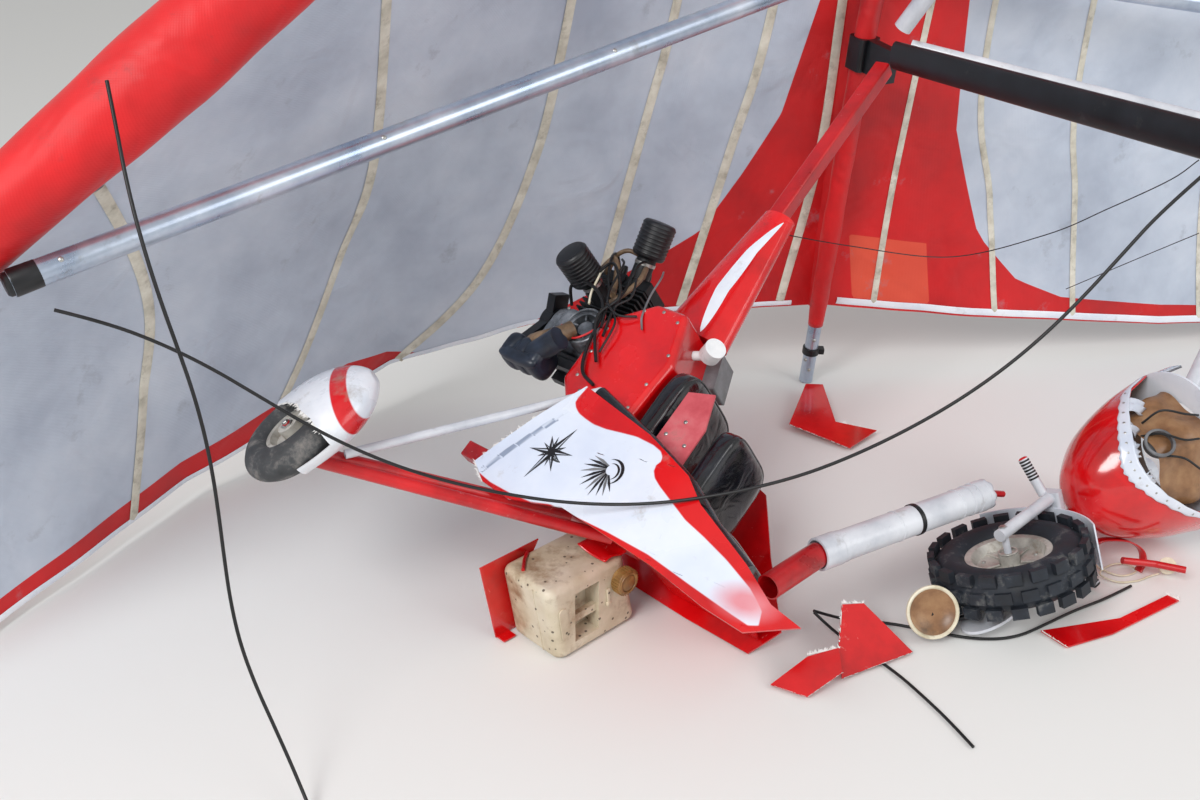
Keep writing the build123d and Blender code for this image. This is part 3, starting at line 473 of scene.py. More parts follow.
# Shapes: each gives points in metres in the part's frame and faces as rows of point numbers
def lattice(surface, round_rows=False, round_columns=False):
    """Quads over a grid of points of shape (rows, columns, 3); a round direction closes on itself."""
    rows, columns = surface.shape[:2]
    a, b = np.meshgrid(np.arange(rows - (not round_rows)), np.arange(columns - (not round_columns)), indexing="ij")
    far, right = (a + 1) % rows, (b + 1) % columns
    faces = np.stack(
        (a * columns + b, far * columns + b, far * columns + right, a * columns + right), -1
    ).reshape(-1, 4)
    return surface.reshape(-1, 3), faces.tolist()


def joined(shapes):
    """Several shapes as one: the points one after another, the faces renumbered to match."""
    points, faces, count = [], [], 0
    for shape_points, shape_faces in shapes:
        points.append(shape_points)
        faces += [[count + corner for corner in face] for face in shape_faces]
        count += len(shape_points)
    return np.vstack(points), faces


def piece(name, shape, finish, body="airframe", closed=True, attributes=None, bevel=0.0, stands_for=()):
    """Makes a piece of a shape. A closed one has its doubled points merged and its faces turned outwards."""
    mesh = bpy.data.meshes.new(name)
    points, faces = shape
    mesh.from_pydata(np.asarray(points, float).tolist(), [], faces)
    for key, values in (attributes or {}).items():
        mesh.attributes.new(key, "FLOAT", "POINT").data.foreach_set("value", np.asarray(values, np.float32).ravel())
    if closed:
        work = bmesh.new()
        work.from_mesh(mesh)
        bmesh.ops.remove_doubles(work, verts=work.verts, dist=1e-6)
        bmesh.ops.recalc_face_normals(work, faces=work.faces)
        work.to_mesh(mesh)
        work.free()
    mesh.shade_smooth()
    mesh.set_sharp_from_angle(angle=math.radians(42))
    mesh.materials.append(finish)
    made = bpy.data.objects.new(name, mesh)
    bpy.context.scene.collection.objects.link(made)
    if bevel:
        rounding = made.modifiers.new("rounding", "BEVEL")
        rounding.width = bevel / 1000
        rounding.segments = 2
        rounding.limit_method = "ANGLE"
    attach(made, body)
    if stands_for:
        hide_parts(*stands_for)
    return made


def thicken(made, name, thickness):
    """Gives a sheet-like piece a wall of that many metres."""
    wall = made.modifiers.new(name, "SOLIDIFY")
    wall.thickness = thickness
    return wall


def curve(points, steps=8):
    """A smooth line through points: a cubic between neighbours, whose slope at a point follows the two beside it."""
    p = np.asarray(points, float)
    p = np.vstack((2 * p[0] - p[1], p, 2 * p[-1] - p[-2]))
    t = np.linspace(0, 1, steps, endpoint=False)[None, :, None]
    a, b, c, d = p[:-3, None], p[1:-2, None], p[2:-1, None], p[3:, None]
    line = 0.5 * (2 * b + (c - a) * t + (2 * a - 5 * b + 4 * c - d) * t**2 + (3 * b - a - 3 * c + d) * t**3)
    return np.vstack((line.reshape(-1, p.shape[1]), p[-2:-1]))


def tube(path, radius, sides=10):
    """A ring carried along a path in metres, standing across it; one radius in mm, or one a point. Closed ends."""
    path = np.asarray(path, float)
    along = unit(np.gradient(path, axis=0))
    flat = np.linalg.svd(path - path.mean(0), full_matrices=True)[2][2]
    side = unit(np.cross(along, flat))
    up = np.cross(side, along)
    turn = np.linspace(0, 2 * np.pi, sides, endpoint=False)[None, :, None]
    ring = np.cos(turn) * side[:, None] + np.sin(turn) * up[:, None]
    wide = np.broadcast_to(np.asarray(radius, float) / 1000, len(path))[:, None, None]
    surface = path[:, None] + wide * ring
    ends = [np.repeat(end[None, None], sides, axis=1) for end in (path[0], path[-1])]
    return lattice(np.concatenate((ends[0], surface, ends[1])), round_columns=True)


def turned(profile, place, sides=40, centre=(0, 0)):
    """A profile of (radius, height) in mm turned about the place's z, off by centre in its x and y."""
    radius, height = np.asarray(profile, float).T
    turn = np.linspace(0, 2 * np.pi, sides, endpoint=False)
    x = centre[0] + radius[:, None] * np.cos(turn)
    y = centre[1] + radius[:, None] * np.sin(turn)
    return lattice(place.at(np.stack((x, y, np.broadcast_to(height[:, None], x.shape)), -1)), round_columns=True)


def prism(outline, low, high, place):
    """An outline in the place's x and y, raised from low to high along its z, all in mm."""
    flat, count = np.asarray(outline, float), len(outline)
    points = np.vstack([np.column_stack((flat, np.full(count, level))) for level in (low, high)])
    sides = [(i, (i + 1) % count, count + (i + 1) % count, count + i) for i in range(count)]
    return place.at(points), [tuple(range(count))[::-1], tuple(range(count, 2 * count)), *sides]


def wedges(corners, count, low, high, place):
    """That many prisms in a circle round the place's z; corners are (radius in mm, angle off the prism's middle)."""
    turns = np.linspace(0, 2 * np.pi, count + 1)[:-1]
    outlines = [[(r * math.cos(a + w), r * math.sin(a + w)) for r, w in corners] for a in turns]
    return [prism(outline, low, high, place) for outline in outlines]


def studs(centres, outs, radius, height, sides=8):
    """Low domes: three rings and a top over each centre (metres), along its outward direction; sizes in mm."""
    centres, outs = np.asarray(centres, float), unit(np.broadcast_to(outs, np.shape(centres)))
    side = unit(np.cross(outs, (0.31, 0.52, 0.8)))
    up = np.cross(outs, side)
    rise = np.array((0.0, 0.45, 0.8, 1.0))
    wide = np.array((1.0, 0.88, 0.55, 0.0))
    turn = np.linspace(0, 2 * np.pi, sides, endpoint=False)
    ring = np.cos(turn)[:, None] * side[:, None, None] + np.sin(turn)[:, None] * up[:, None, None]
    surface = centres[:, None, None] + (outs[:, None, None] * rise[
        :, None, None
    ] * height + ring * wide[:, None, None] * radius) / 1000
    return joined([lattice(one, round_columns=True) for one in surface])


def signed_power(values, power):
    """Values raised to a power with their signs kept; on cosines and sines a power below 1 fills a form's corners."""
    return np.sign(values) * np.abs(values) ** power


def superpillow(place, centre, half, square=0.4, rows=28, columns=44):
    """A stuffed form: a ball whose cosines and sines are raised to the power square, which fills its corners; in mm."""
    up, turn = np.linspace(-np.pi / 2, np.pi / 2, rows)[:, None], np.linspace(0, 2 * np.pi, columns, endpoint=False)
    wide = signed_power(np.cos(up), square)
    x, y = wide * signed_power(np.cos(turn), square), wide * signed_power(np.sin(turn), square)
    z = signed_power(np.sin(up), square)
    local = np.stack((x, y, np.broadcast_to(z, x.shape)), -1) * np.asarray(half, float) + np.asarray(centre, float)
    return lattice(place.at(local), round_columns=True)


# Sails
SLEEVE_SHARES, SLEEVE_RADII = (0.015, 0.5, 0.995), (78, 104, 34)
# share of the leading edge, trailing-edge point, depth of the arch
LEFT_STATIONS = (
    (0.030, (770, 4112, 300), 60), (0.150, (290, 4050, 300), 130), (0.300, (-250, 3975, 280), 150),
    (0.450, (-750, 3850, 180), 130),
    (0.600, (-1290, 3230, 70), 100), (0.750, (-1640, 2480, 22), 60), (0.880, (-2200, 1990, 14), 30),
    (0.960, (-2440, 1840, 10), 8),
)
RIGHT_STATIONS = (
    (0.030, (815, 4116, 300), 60), (0.150, (1400, 4190, 220), 130), (0.300, (2200, 4350, 120), 170),
    (0.500, (3100, 4550, 60), 150),
    (0.750, (4050, 4760, 30), 90), (0.955, (4690, 5000, 10), 8),
)


class Sail:
    """One half of the sail as a surface. At a station it is an arc of a circle over the chord, from the leading edge to
    the trailing edge; between stations it runs straight. Small folds, sines that run from the leading edge to the
    free edge and fan out, are added along the arc's normal."""

    def __init__(self, tip, stations, rows, columns):
        share = np.linspace(0, 1, columns)
        lines = []
        for station, trailing, arch in stations:
            lead = NOSE + (tip - NOSE) * station
            chord = spot(*trailing) - lead
            slant = math.acos(unit(chord) @ unit(tip - NOSE))
            lead = lead + unit(chord) * (SLEEVE_RADII[1] + 4) / 1000 / math.sin(slant)
            chord = spot(*trailing) - lead
            span, x_dir = np.linalg.norm(chord), unit(chord)
            back = np.array((0, 1, 0)) - x_dir * x_dir[1]
            y_dir = np.cross(unit(np.cross(chord, back)), x_dir)
            depth = arch / 1000
            drop = (depth**2 - 0.24 * span**2) / (2 * depth)
            bow = drop + np.sqrt(np.maximum(span**2 / 4 + drop**2 - (share * span - span / 2) ** 2, 0))
            lines.append(lead + np.outer(share * span, x_dir) + np.outer(bow * (1 if y_dir[1] > 0 else -1), y_dir))
        lines = np.array(lines)
        self.last = len(stations) - 1
        self.t = np.linspace(0, self.last, rows)
        before = np.minimum(self.t.astype(int), self.last - 1)
        part = (self.t - before)[:, None, None]
        surface = lines[before] * (1 - part) + lines[before + 1] * part
        normal = unit(np.cross(np.gradient(surface, axis=0), np.gradient(surface, axis=1)))
        self.normal = normal * np.sign(np.sum(normal * (SEEN_FROM - surface), -1, keepdims=True))
        t, v = self.t[:, None], share[None, :]
        folds = (
            2.2 * np.sin(9.0 * t + 5.0 * v) * v + 1.8 * np.sin(17.0 * t - 8.0 * v + 1.0) * v**2
            + 3.0 * np.sin(4.2 * t + 2.0) * np.sin(np.pi * v)
        )
        pinned = np.minimum(1, 8 * v) * np.minimum(1, 3 * np.minimum(t, self.last - t) + 0.15)
        self.surface = surface + self.normal * (folds * pinned)[:, :, None] / 1000
        self.share = share

    def sample(self, field, at):
        """The field at places (t, v), straight between the four grid points around each."""
        rows, columns = field.shape[:2]
        row = np.clip(np.asarray(at)[:, 0] / self.last * (rows - 1), 0, rows - 1.001)
        column = np.clip(np.asarray(at)[:, 1] * (columns - 1), 0, columns - 1.001)
        i, j = row.astype(int), column.astype(int)
        a, b = (row - i)[:, None], (column - j)[:, None]
        near = field[i, j] * (1 - b) + field[i, j + 1] * b
        return near * (1 - a) + (field[i + 1, j] * (1 - b) + field[i + 1, j + 1] * b) * a

    def ribbon(self, at, width, lift=2.6, crown=1.4):
        """A band sewn on along places (t, v): a low arched profile across the line, standing lift mm off the cloth."""
        fine = curve(at, 14)
        line, out = self.sample(self.surface, fine), self.sample(self.normal, fine)
        aside = unit(np.cross(unit(np.gradient(line, axis=0)), out))
        across = np.linspace(-1, 1, 7)[None, :, None]
        rise = lift - 0.8 * across**8 + crown * (1 - across**2)
        surface = line[:, None] + (aside[:, None] * across * width / 2 + out[:, None] * rise) / 1000
        return lattice(surface)


def sewn(name, sail, rows, finish=None):
    """Bands sewn on the sail, as one piece. Each row holds the places (t, v) of its line and its width in mm."""
    return piece(name, joined([sail.ribbon(at, width) for at, width in rows]), finish or WEBBING, closed=False)


LEFT = Sail(TIP_LEFT, LEFT_STATIONS, 211, 151)
RIGHT = Sail(TIP_RIGHT, RIGHT_STATIONS, 221, 141)
# The red middle of the sail ends at these places: share of the chord, station count from the keel
LEFT_RED = (
    (0, 0.04), (0.4, 0.11), (0.54, 0.2), (0.69, 0.38), (0.775, 0.62), (0.862, 0.9), (0.925, 1.43), (0.988, 1.93),
    (1, 2.1)
)
RIGHT_RED = ((0, 0.42), (0.51, 0.53), (0.7, 0.65), (0.85, 0.93), (0.93, 1.2), (0.962, 1.5), (0.97, 4.5), (1, 5.2))


def cloth_marks(sail, border, band_from):
    """Attributes of the sailcloth's colours: each is above 0 inside its region and grows away from its edge."""
    t, v = sail.t[:, None], sail.share[None, :]
    middle = np.interp(v, *np.array(border).T) - t
    band = (v - np.interp(t, (band_from - 0.4, band_from + 0.2), (1.02, 0.935))) * 6
    return {"red_panel": np.maximum(middle, band), "orange_patch": np.full(middle.shape, -1.0)}


left_marks, right_marks = cloth_marks(LEFT, LEFT_RED, 3.0), cloth_marks(RIGHT, RIGHT_RED, 9)
right_t, right_v = RIGHT.t[:, None], RIGHT.share[None, :]
right_marks["orange_patch"] = 0.26 - np.maximum(
    np.abs(right_t - 0.40 - (right_v - 0.93)), np.abs(right_v - 0.935) * 5.2
)
left_cloth = piece(
    "sail_cloth_left", lattice(LEFT.surface), SHADE_GREY_SAIL_CLOTH, closed=False, attributes=left_marks,
    stands_for=("sail_left",)
)
right_cloth = piece(
    "sail_cloth_right", lattice(RIGHT.surface), SHADE_GREY_SAIL_CLOTH, closed=False, attributes=right_marks,
    stands_for=("sail_right",)
)
LEFT_BATTENS = (
    ((6.4, 0.03), (6.5, 0.5), (6.6, 0.985)), ((5.1, 0.03), (5.25, 0.5), (5.4, 0.99)),
    ((3.7, 0.03), (3.83, 0.412), (4.03, 0.675), (4.28, 0.995)),
    ((2.55, 0.03), (2.85, 0.462), (3.12, 0.65), (3.4, 0.85), (3.62, 0.99)),
    ((1.6, 0.03), (1.8, 0.425), (2.0, 0.675), (2.35, 0.862), (2.93, 0.995)),
    ((0.98, 0.03), (1.18, 0.462), (1.3, 0.625), (1.48, 0.85), (1.6, 0.99)),
    ((0.36, 0.03), (0.53, 0.525), (0.73, 0.738), (1.0, 0.99)),
    ((0.03, 0.3), (0.04, 0.55), (0.06, 0.762), (0.23, 0.99)),
)
RIGHT_BATTENS = (
    ((0.27, 0.03), (0.3, 0.65), (0.31, 0.812), (0.34, 0.99)), ((0.62, 0.03), (0.73, 0.588), (0.98, 0.8), (1.12, 0.99)),
    ((1.18, 0.03), (1.3, 0.575), (1.43, 0.775), (1.53, 0.99)), ((2.0, 0.03), (2.1, 0.6), (2.2, 0.99)),
    ((2.8, 0.03), (2.9, 0.6), (3.0, 0.99)),
    ((3.7, 0.03), (3.8, 0.6), (3.9, 0.99)), ((4.5, 0.03), (4.6, 0.6), (4.65, 0.99)),
)
sewn("batten_pockets_left", LEFT, [(row, 32) for row in LEFT_BATTENS])
sewn("batten_pockets_right", RIGHT, [(row, 24) for row in RIGHT_BATTENS])
free_edge = np.linspace(0.02, 1, 12)
sewn("hem_left", LEFT, [(np.column_stack((free_edge * 6.9, np.full(12, 0.994))), 18)], finish=WHITE_FILM)
sewn("hem_right", RIGHT, [(np.column_stack((free_edge * 4.9, np.full(12, 0.991))), 26)], finish=WHITE_FILM)


def tube_cloth(name, start, end, shares, radii, folds, finish, stands_for=(), rows=140, around=40):
    """A fabric pocket round a tube: rings whose radius runs straight between the given shares, drawn in and out by
    folds that circle it on a slant. It stays open at its ends, as a sewn sleeve is."""
    s = np.linspace(shares[0], shares[-1], rows)[:, None]
    turn = np.linspace(0, 2 * np.pi, around, endpoint=False)[None, :]
    axis = unit(end - start)
    side = unit(np.cross(axis, (0, 0, 1)))
    up = np.cross(side, axis)
    ripple = np.sin(60 * s + 2 * turn) * 0.5 + np.sin(143 * s - 3 * turn + 1) * 0.3
    wide = np.interp(s, shares, radii) + folds * (ripple - 0.8 * np.abs(np.sin(19 * s)) ** 12)
    ring = np.cos(turn)[..., None] * side + np.sin(turn)[..., None] * up
    surface = start + (end - start) * s[..., None] + ring * wide[..., None] / 1000
    return piece(name, lattice(surface, round_columns=True), finish, closed=False, stands_for=stands_for)


left_sleeve = tube_cloth(
    "leading_edge_cloth_left", NOSE, TIP_LEFT, SLEEVE_SHARES, SLEEVE_RADII, 3.0, RED_CLOTH, ("leading_edge_left",)
)
right_sleeve = tube_cloth(
    "leading_edge_cloth_right", NOSE, TIP_RIGHT, SLEEVE_SHARES, SLEEVE_RADII, 3.0, RED_CLOTH, ("leading_edge_right",)
)
keel_pocket = tube_cloth("keel_pocket_cloth", KEEL_TAIL, NOSE, (0.082, 0.2, 0.7, 0.9), (29, 34, 34, 30), 2.0, RED_CLOTH)
for cloth in (left_sleeve, right_sleeve, keel_pocket):
    thicken(cloth, "cloth_thickness", 0.0012)


# Pod: the right panel with its painted border, a compass star and a fan of streaks
# the panel's arc in the trike's y and z, in mm: its middle and radius, and how far films stand off it
PANEL_MIDDLE, PANEL_RADIUS, FILM_LIFT = (1796.5, 70), 2076.9, 0.8


def pod_wall(x, z, lift=0.0):
    """Points on the outside of the right panel: the arc that its wall is bulged to, lift mm proud of it."""
    depth = PANEL_MIDDLE[0] - np.sqrt(PANEL_RADIUS**2 - (np.asarray(z, float) - PANEL_MIDDLE[1]) ** 2) - lift
    return TRIKE.at(np.stack((x, depth, z), -1))


def inside(x, z, outline):
    """Distance in metres from an outline's nearest edge, above 0 within it."""
    outline = np.asarray(outline, float)
    place, a, b = np.stack((x, z), -1)[:, None], outline[None], np.roll(outline, -1, 0)[None]
    edge = b - a
    share = np.clip(((place - a) * edge).sum(-1) / (edge**2).sum(-1), 0, 1)
    away = np.linalg.norm(place - a - edge * share[..., None], axis=-1).min(1)
    below = (a[..., 1] > place[..., 1]) != (b[..., 1] > place[..., 1])
    rise = np.where(edge[..., 1] == 0, 1e-9, edge[..., 1])
    crossed = below & (place[..., 0] < edge[..., 0] * (place[..., 1] - a[..., 1]) / rise + a[..., 0])
    return np.where(crossed.sum(1) % 2 == 1, away, -away) / 1000


def dense_copy(node, longest):
    """A CAD node's mesh with its doubled points merged and its edges cut until none is longer than that many mm."""
    work = bmesh.new()
    work.from_mesh(NODES[node].data)
    bmesh.ops.remove_doubles(work, verts=work.verts, dist=1e-6)
    for _ in range(7):
        edges = [edge for edge in work.edges if edge.calc_length() > longest / 1000]
        if not edges:
            break
        bmesh.ops.subdivide_edges(work, edges=edges, cuts=1)
        bmesh.ops.triangulate(work, faces=[face for face in work.faces if len(face.verts) > 3])
    points = np.array([vertex.co[:] for vertex in work.verts])
    faces = [[vertex.index for vertex in face.verts] for face in work.faces]
    work.free()
    return points, faces


POD_WHITE = (
    (44, 226), (-40, 90), (-166, -94), (-150, -118), (-114, -140), (-54, -150), (29, -151), (95, -146), (150, -129),
    (340, -124), (470, -126),
    (603, -142), (730, -156), (778, -160), (800, -150), (790, -120), (766, -104), (738, -88), (653, -56), (571, -32),
    (506, -16), (441, 11), (395, 30),
    (370, 43), (356, 58), (352, 74), (357, 86), (354, 98), (340, 110), (311, 117), (255, 119), (210, 112), (163, 104),
    (120, 102), (87, 107), (60, 113), (41, 124),
    (29, 136), (27, 152), (30, 184),
)
shell_points, shell_faces = dense_copy("pod_right", 14)
shell_local = TRIKE.within(shell_points)
shell_x, shell_z = shell_local[:, 0], shell_local[:, 2]


def crease(a, b, c, d):
    """3 mm less the distance from the line through (a, b) and (c, d), and far below 0 beyond the two points."""
    away = np.abs((shell_x - a) * (d - b) - (shell_z - b) * (c - a)) / math.hypot(c - a, d - b)
    return 3.0 - away - 500 * ((shell_x < min(a, c)) | (shell_x > max(a, c)))


# two creases, painted blue-grey as the shade in their folds
creases = np.stack([crease(-109, -131, 13, 87), crease(-96, -137, 30, 96)])
# the tip's paint is rubbed away over a soft oval
rubbed = np.clip(1.2 - np.hypot((shell_x - 748 - 0.5 * (shell_z + 118)) / 78, (shell_z + 118) / 44), 0, 0.85)
pod_paint = {
    "red_border": -inside(shell_x, shell_z, POD_WHITE), "rubbed_tip": 0.003 * rubbed - 0.0015,
    "crease_painted_shade": creases.max(0) / 1000
}
piece(
    "pod_skin_right", (shell_points, shell_faces), POD_SKIN, attributes=pod_paint,
    stands_for=("pod_right",)
)


def heading(degrees):
    """A direction on the panel from an angle, and the one square to it."""
    way = np.array((math.cos(math.radians(degrees)), math.sin(math.radians(degrees))))
    return way, np.array((-way[1], way[0]))


def film(name, outlines, finish=BLACK_FILM):
    """Thin film on the right panel, cut to outlines in mm, 0.8 mm proud of it."""
    shapes = []
    for outline in outlines:
        outline = np.asarray(outline, float)
        shapes.append((pod_wall(outline[:, 0], outline[:, 1], FILM_LIFT), [tuple(range(len(outline)))]))
    return piece(name, joined(shapes), finish, closed=False)


# Compass star: long and short rays by turns; each ray is a filled half and a thin line along its other side
STAR_CENTRE = np.array((62, -10))
# direction in degrees, length, half width at the root
STAR_RAYS = (
    (72, 87, 11), (252, 95, 11), (126, 48, 9), (306, 58, 9), (193, 70, 10), (13, 66, 10), (40, 42, 7), (220, 40, 7),
    (100, 44, 6), (280, 42, 6), (160, 40, 6), (340, 42, 6)
)
star = []
for turn, length, half in STAR_RAYS:
    way, aside = heading(turn)
    root = STAR_CENTRE + way * 6
    star.append((STAR_CENTRE, root + aside * half, STAR_CENTRE + way * length))
    star.append((
        STAR_CENTRE + way * length, root - aside * half * 0.9, root - aside * half * 0.45,
        STAR_CENTRE + way * (length - 12)
    ))
film("compass_star_film", star)
# Fan of tapering streaks with an arc beside it, a plain pattern on the panel
FAN_CENTRE, ARC_CENTRE = np.array((250, 14)), np.array((254, 12))
streaks, light_streaks = [], []
for row, (turn, reach) in enumerate(zip(np.linspace(150, 285, 11), (52, 60, 66, 70, 66, 72, 64, 68, 58, 54, 44))):
    way, aside = heading(turn)
    root = FAN_CENTRE + way * 14
    bend = aside * 9
    shape = [
        root - aside * 2, root + way * reach * 0.5 + bend - aside * 4.5, root + way * reach + bend * 2.2,
        root + way * reach * 0.5 + bend + aside * 3.5, root + aside * 2
    ]
    (streaks if row % 3 else light_streaks).append(shape)
arc_turns = np.radians(np.linspace(-70, 130, 15))
arc, arc_swell = np.column_stack((np.cos(arc_turns), np.sin(arc_turns))), np.sin(np.linspace(0, np.pi, 15))
for radius, thick in ((34, 9), (22, 6)):
    ring = ARC_CENTRE + arc * radius
    inner = ARC_CENTRE + arc * (radius - thick * arc_swell)[:, None]
    streaks += [(ring[i], ring[i + 1], inner[i + 1], inner[i]) for i in range(14)]
film("streak_fan_film", streaks)
film("streak_fan_light_film", light_streaks, GREY_PLASTIC)


def blade_stripe():
    """The white stripe on the mast fairing: a leaf that follows the loft of ellipses, 0.8 mm proud of it."""
    height = np.linspace(556, 985, 40)[:, None]
    share = (height - 556) / (985 - 556)
    chord = np.interp(height, (545, 760, 1010), (118, 88, 52)) + 0.8
    thick = np.interp(height, (545, 760, 1010), (50, 44, 37)) + 0.8
    middle = np.interp(share, (0, 0.35, 0.7, 1), (48, 22, 26, 50))
    half = 21 * np.sin(np.pi * share**0.8) ** 0.8 + 0.5
    x = middle + np.linspace(-1, 1, 9)[None, :] * half
    y = -thick * np.sqrt(np.maximum(1 - ((x - 10) / chord) ** 2, 0))
    return lattice(TRIKE.at(np.stack((x, y, np.broadcast_to(height, x.shape)), -1)))


piece("mast_fairing_stripe", blade_stripe(), WHITE_FILM, closed=False)
rivets = [
    (x, -168.2, z)
    for x, z in (
        (-120, 250), (-130, 330), (-132, 410), (-60, 500), (0, 516), (60, 500), (100, 400), (96, 300), (90, 220),
        (-80, 210), (0, 205)
    )
]
piece("shroud_rivets", studs(TRIKE.at(rivets), TRIKE.way((0, -1, 0)), 5.5, 2.2), PLATED)

# Seats: crowned pads over each back, with a sewn cord round each and screws in the side panel
SEAT_SQUARE = 0.42
for number, (x, top, wide, high) in enumerate(((140, 400, 171, 1.0), (335, 345, 128, 0.86)), 1):
    tall = (top - 44) / 2 * high
    middle = (x + 32, 0, 44 + tall)
    pad = piece(
        f"seat_back_pad_{number}", superpillow(TRIKE, middle, (32, wide, tall), SEAT_SQUARE), VINYL
    )
    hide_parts("seat_backs")
    turn = np.linspace(0, 2 * np.pi, 90)
    for side in (-20, 20):
        edge = np.stack(
            (
                np.full(90, x + 32.0 + side), (wide - 5) * signed_power(np.cos(turn), SEAT_SQUARE),
                44 + tall + (tall - 4) * signed_power(np.sin(turn), SEAT_SQUARE)
            ),
            -1
        )
        piece(
            f"seat_back_piping_{number}_{'rear' if side < 0 else 'front'}", tube(TRIKE.at(edge), 3.2, 8), VINYL,
        )
base = piece(
    "seat_base_pad", superpillow(TRIKE, (330, 0, 16), (228, 172, 33), 0.3), VINYL,
    stands_for=("seat_base",)
)
piece(
    "seat_panel_screws",
    studs(
        TRIKE.at([(255, -156.2, 120), (262, -156.2, 250), (300, -156.2, 190), (232, -156.2, 200)]),
        TRIKE.way((0, -1, 0)), 6, 2.5
    ),
    PLATED
)

# Engine: hoses and leads round the cylinders, the filters and the silencer, in the trike's frame; routes as listed,
# and a name says what each may be
HOSES = (
    (
        "brown_hose_1", BROWN_HOSE, 9,
        ((-330, -95, 610), (-300, -135, 640), (-262, -140, 610), (-240, -128, 560), (-205, -150, 520))
    ),
    (
        "brown_hose_2", BROWN_HOSE, 8,
        (
            (-215, -80, 640), (-190, -120, 650), (-170, -135, 600), (-178, -145, 540), (-200, -150, 490),
            (-190, -160, 440)
        )
    ),
    (
        "brown_hose_3", BROWN_HOSE, 7,
        ((-250, -90, 700), (-290, -120, 690), (-330, -110, 660), (-352, -100, 610), (-340, -110, 560))
    ),
    (
        "lead_1", WIRE_COVER, 4,
        ((-242, -30, 652), (-235, -80, 690), (-205, -140, 640), (-180, -150, 560), (-150, -176, 470), (-120, -178, 380))
    ),
    (
        "lead_2", WIRE_COVER, 4,
        ((-338, -30, 652), (-340, -90, 680), (-300, -150, 640), (-250, -170, 570), (-190, -180, 500), (-140, -182, 400))
    ),
    (
        "cable_1", WIRE_COVER, 4.5,
        (
            (-300, -160, 560), (-250, -185, 600), (-190, -190, 560), (-150, -185, 500), (-170, -190, 430),
            (-130, -186, 360), (-80, -184, 300)
        )
    ),
    (
        "cable_2", WIRE_COVER, 3.5,
        (
            (-260, -150, 640), (-220, -175, 610), (-200, -180, 520), (-160, -195, 470), (-110, -190, 450),
            (-60, -180, 470)
        )
    ),
    (
        "cable_3", WIRE_COVER, 5,
        (
            (-360, -100, 470), (-350, -160, 500), (-300, -175, 520), (-230, -178, 500), (-176, -176, 450),
            (-140, -180, 330), (-100, -182, 260), (-40, -182, 235)
        )
    ),
    (
        "cable_4", WIRE_COVER, 3.5,
        (
            (-190, -140, 600), (-150, -170, 580), (-120, -178, 520), (-140, -186, 470), (-100, -190, 420),
            (-90, -184, 330)
        )
    ),
    ("fuel_line", CREAM_PLASTIC, 3.5, ((-310, -140, 590), (-280, -165, 560), (-262, -170, 500), (-240, -172, 460))),
    (
        "throttle_line", GREY_PLASTIC, 3,
        ((-180, -60, 690), (-130, -110, 640), (-90, -150, 560), (-50, -175, 480), (-20, -178, 440))
    ),
    (
        "belt_line", RED_PLASTIC, 3.2,
        (
            (-300, -146, 380), (-262, -160, 352), (-215, -162, 350), (-180, -158, 392), (-176, -152, 440),
            (-200, -148, 470)
        )
    ),
    ("inlet_elbow", BROWN_HOSE, 25, ((-330, -165, 290), (-290, -185, 300), (-252, -180, 335), (-238, -165, 372))),
)
for name, finish, radius, points in HOSES:
    piece("engine_" + name, tube(curve(TRIKE.at(points), 7), radius, 12), finish)
# Starter: a drum in the middle, ribs out from it and a ring round them
starter = Place(TRIKE.at((-232, -141, 402)), TRIKE.way((1, 0, 0)), TRIKE.way((0, -1, 0)))
ribs = wedges(((26, -0.1), (26, 0.1), (55, 0.06), (55, -0.06)), 6, -30, -4, starter)
piece(
    "starter_ribs",
    joined(ribs + [
        turned(((0, -8), (24, -8), (27, -14), (27, -30), (0, -30)), starter),
        turned(((54, 0), (61, -3), (61, 6), (57, 9), (54, 6), (54, 0)), starter)
    ]),
    CASTING, bevel=1.2
)
# Air filters: raised bands round the cover, a clamp at the neck and a slightly domed end
for number, (root, direction) in enumerate(
    (((-320, -93, 545), (-0.25, -0.95, 0.1)), ((-250, -60, 668), (0.1, -0.5, 0.86))), 1
):
    filter_place = Place(TRIKE.at(root), TRIKE.way(np.cross(direction, (0.2, 0.1, 1))), TRIKE.way(direction))
    bands = [[(50.1, h), (51.6, h + 2), (51.6, h + 5), (50.1, h + 7)] for h in range(56, 148, 12)]
    piece(
        f"air_filter_pleats_{number}",
        joined([turned(band, filter_place, 44) for band in bands] + [turned(
            ((0, 157.5), (30, 157), (40, 155.5), (30, 156.2), (0, 156.2)), filter_place, 44
        )]),
        BLACK_PLASTIC
    )
    piece(
        f"air_filter_clamp_{number}", turned(((30.2, 22), (32.5, 22), (32.5, 32), (30.2, 32)), filter_place, 32),
        PLATED
    )
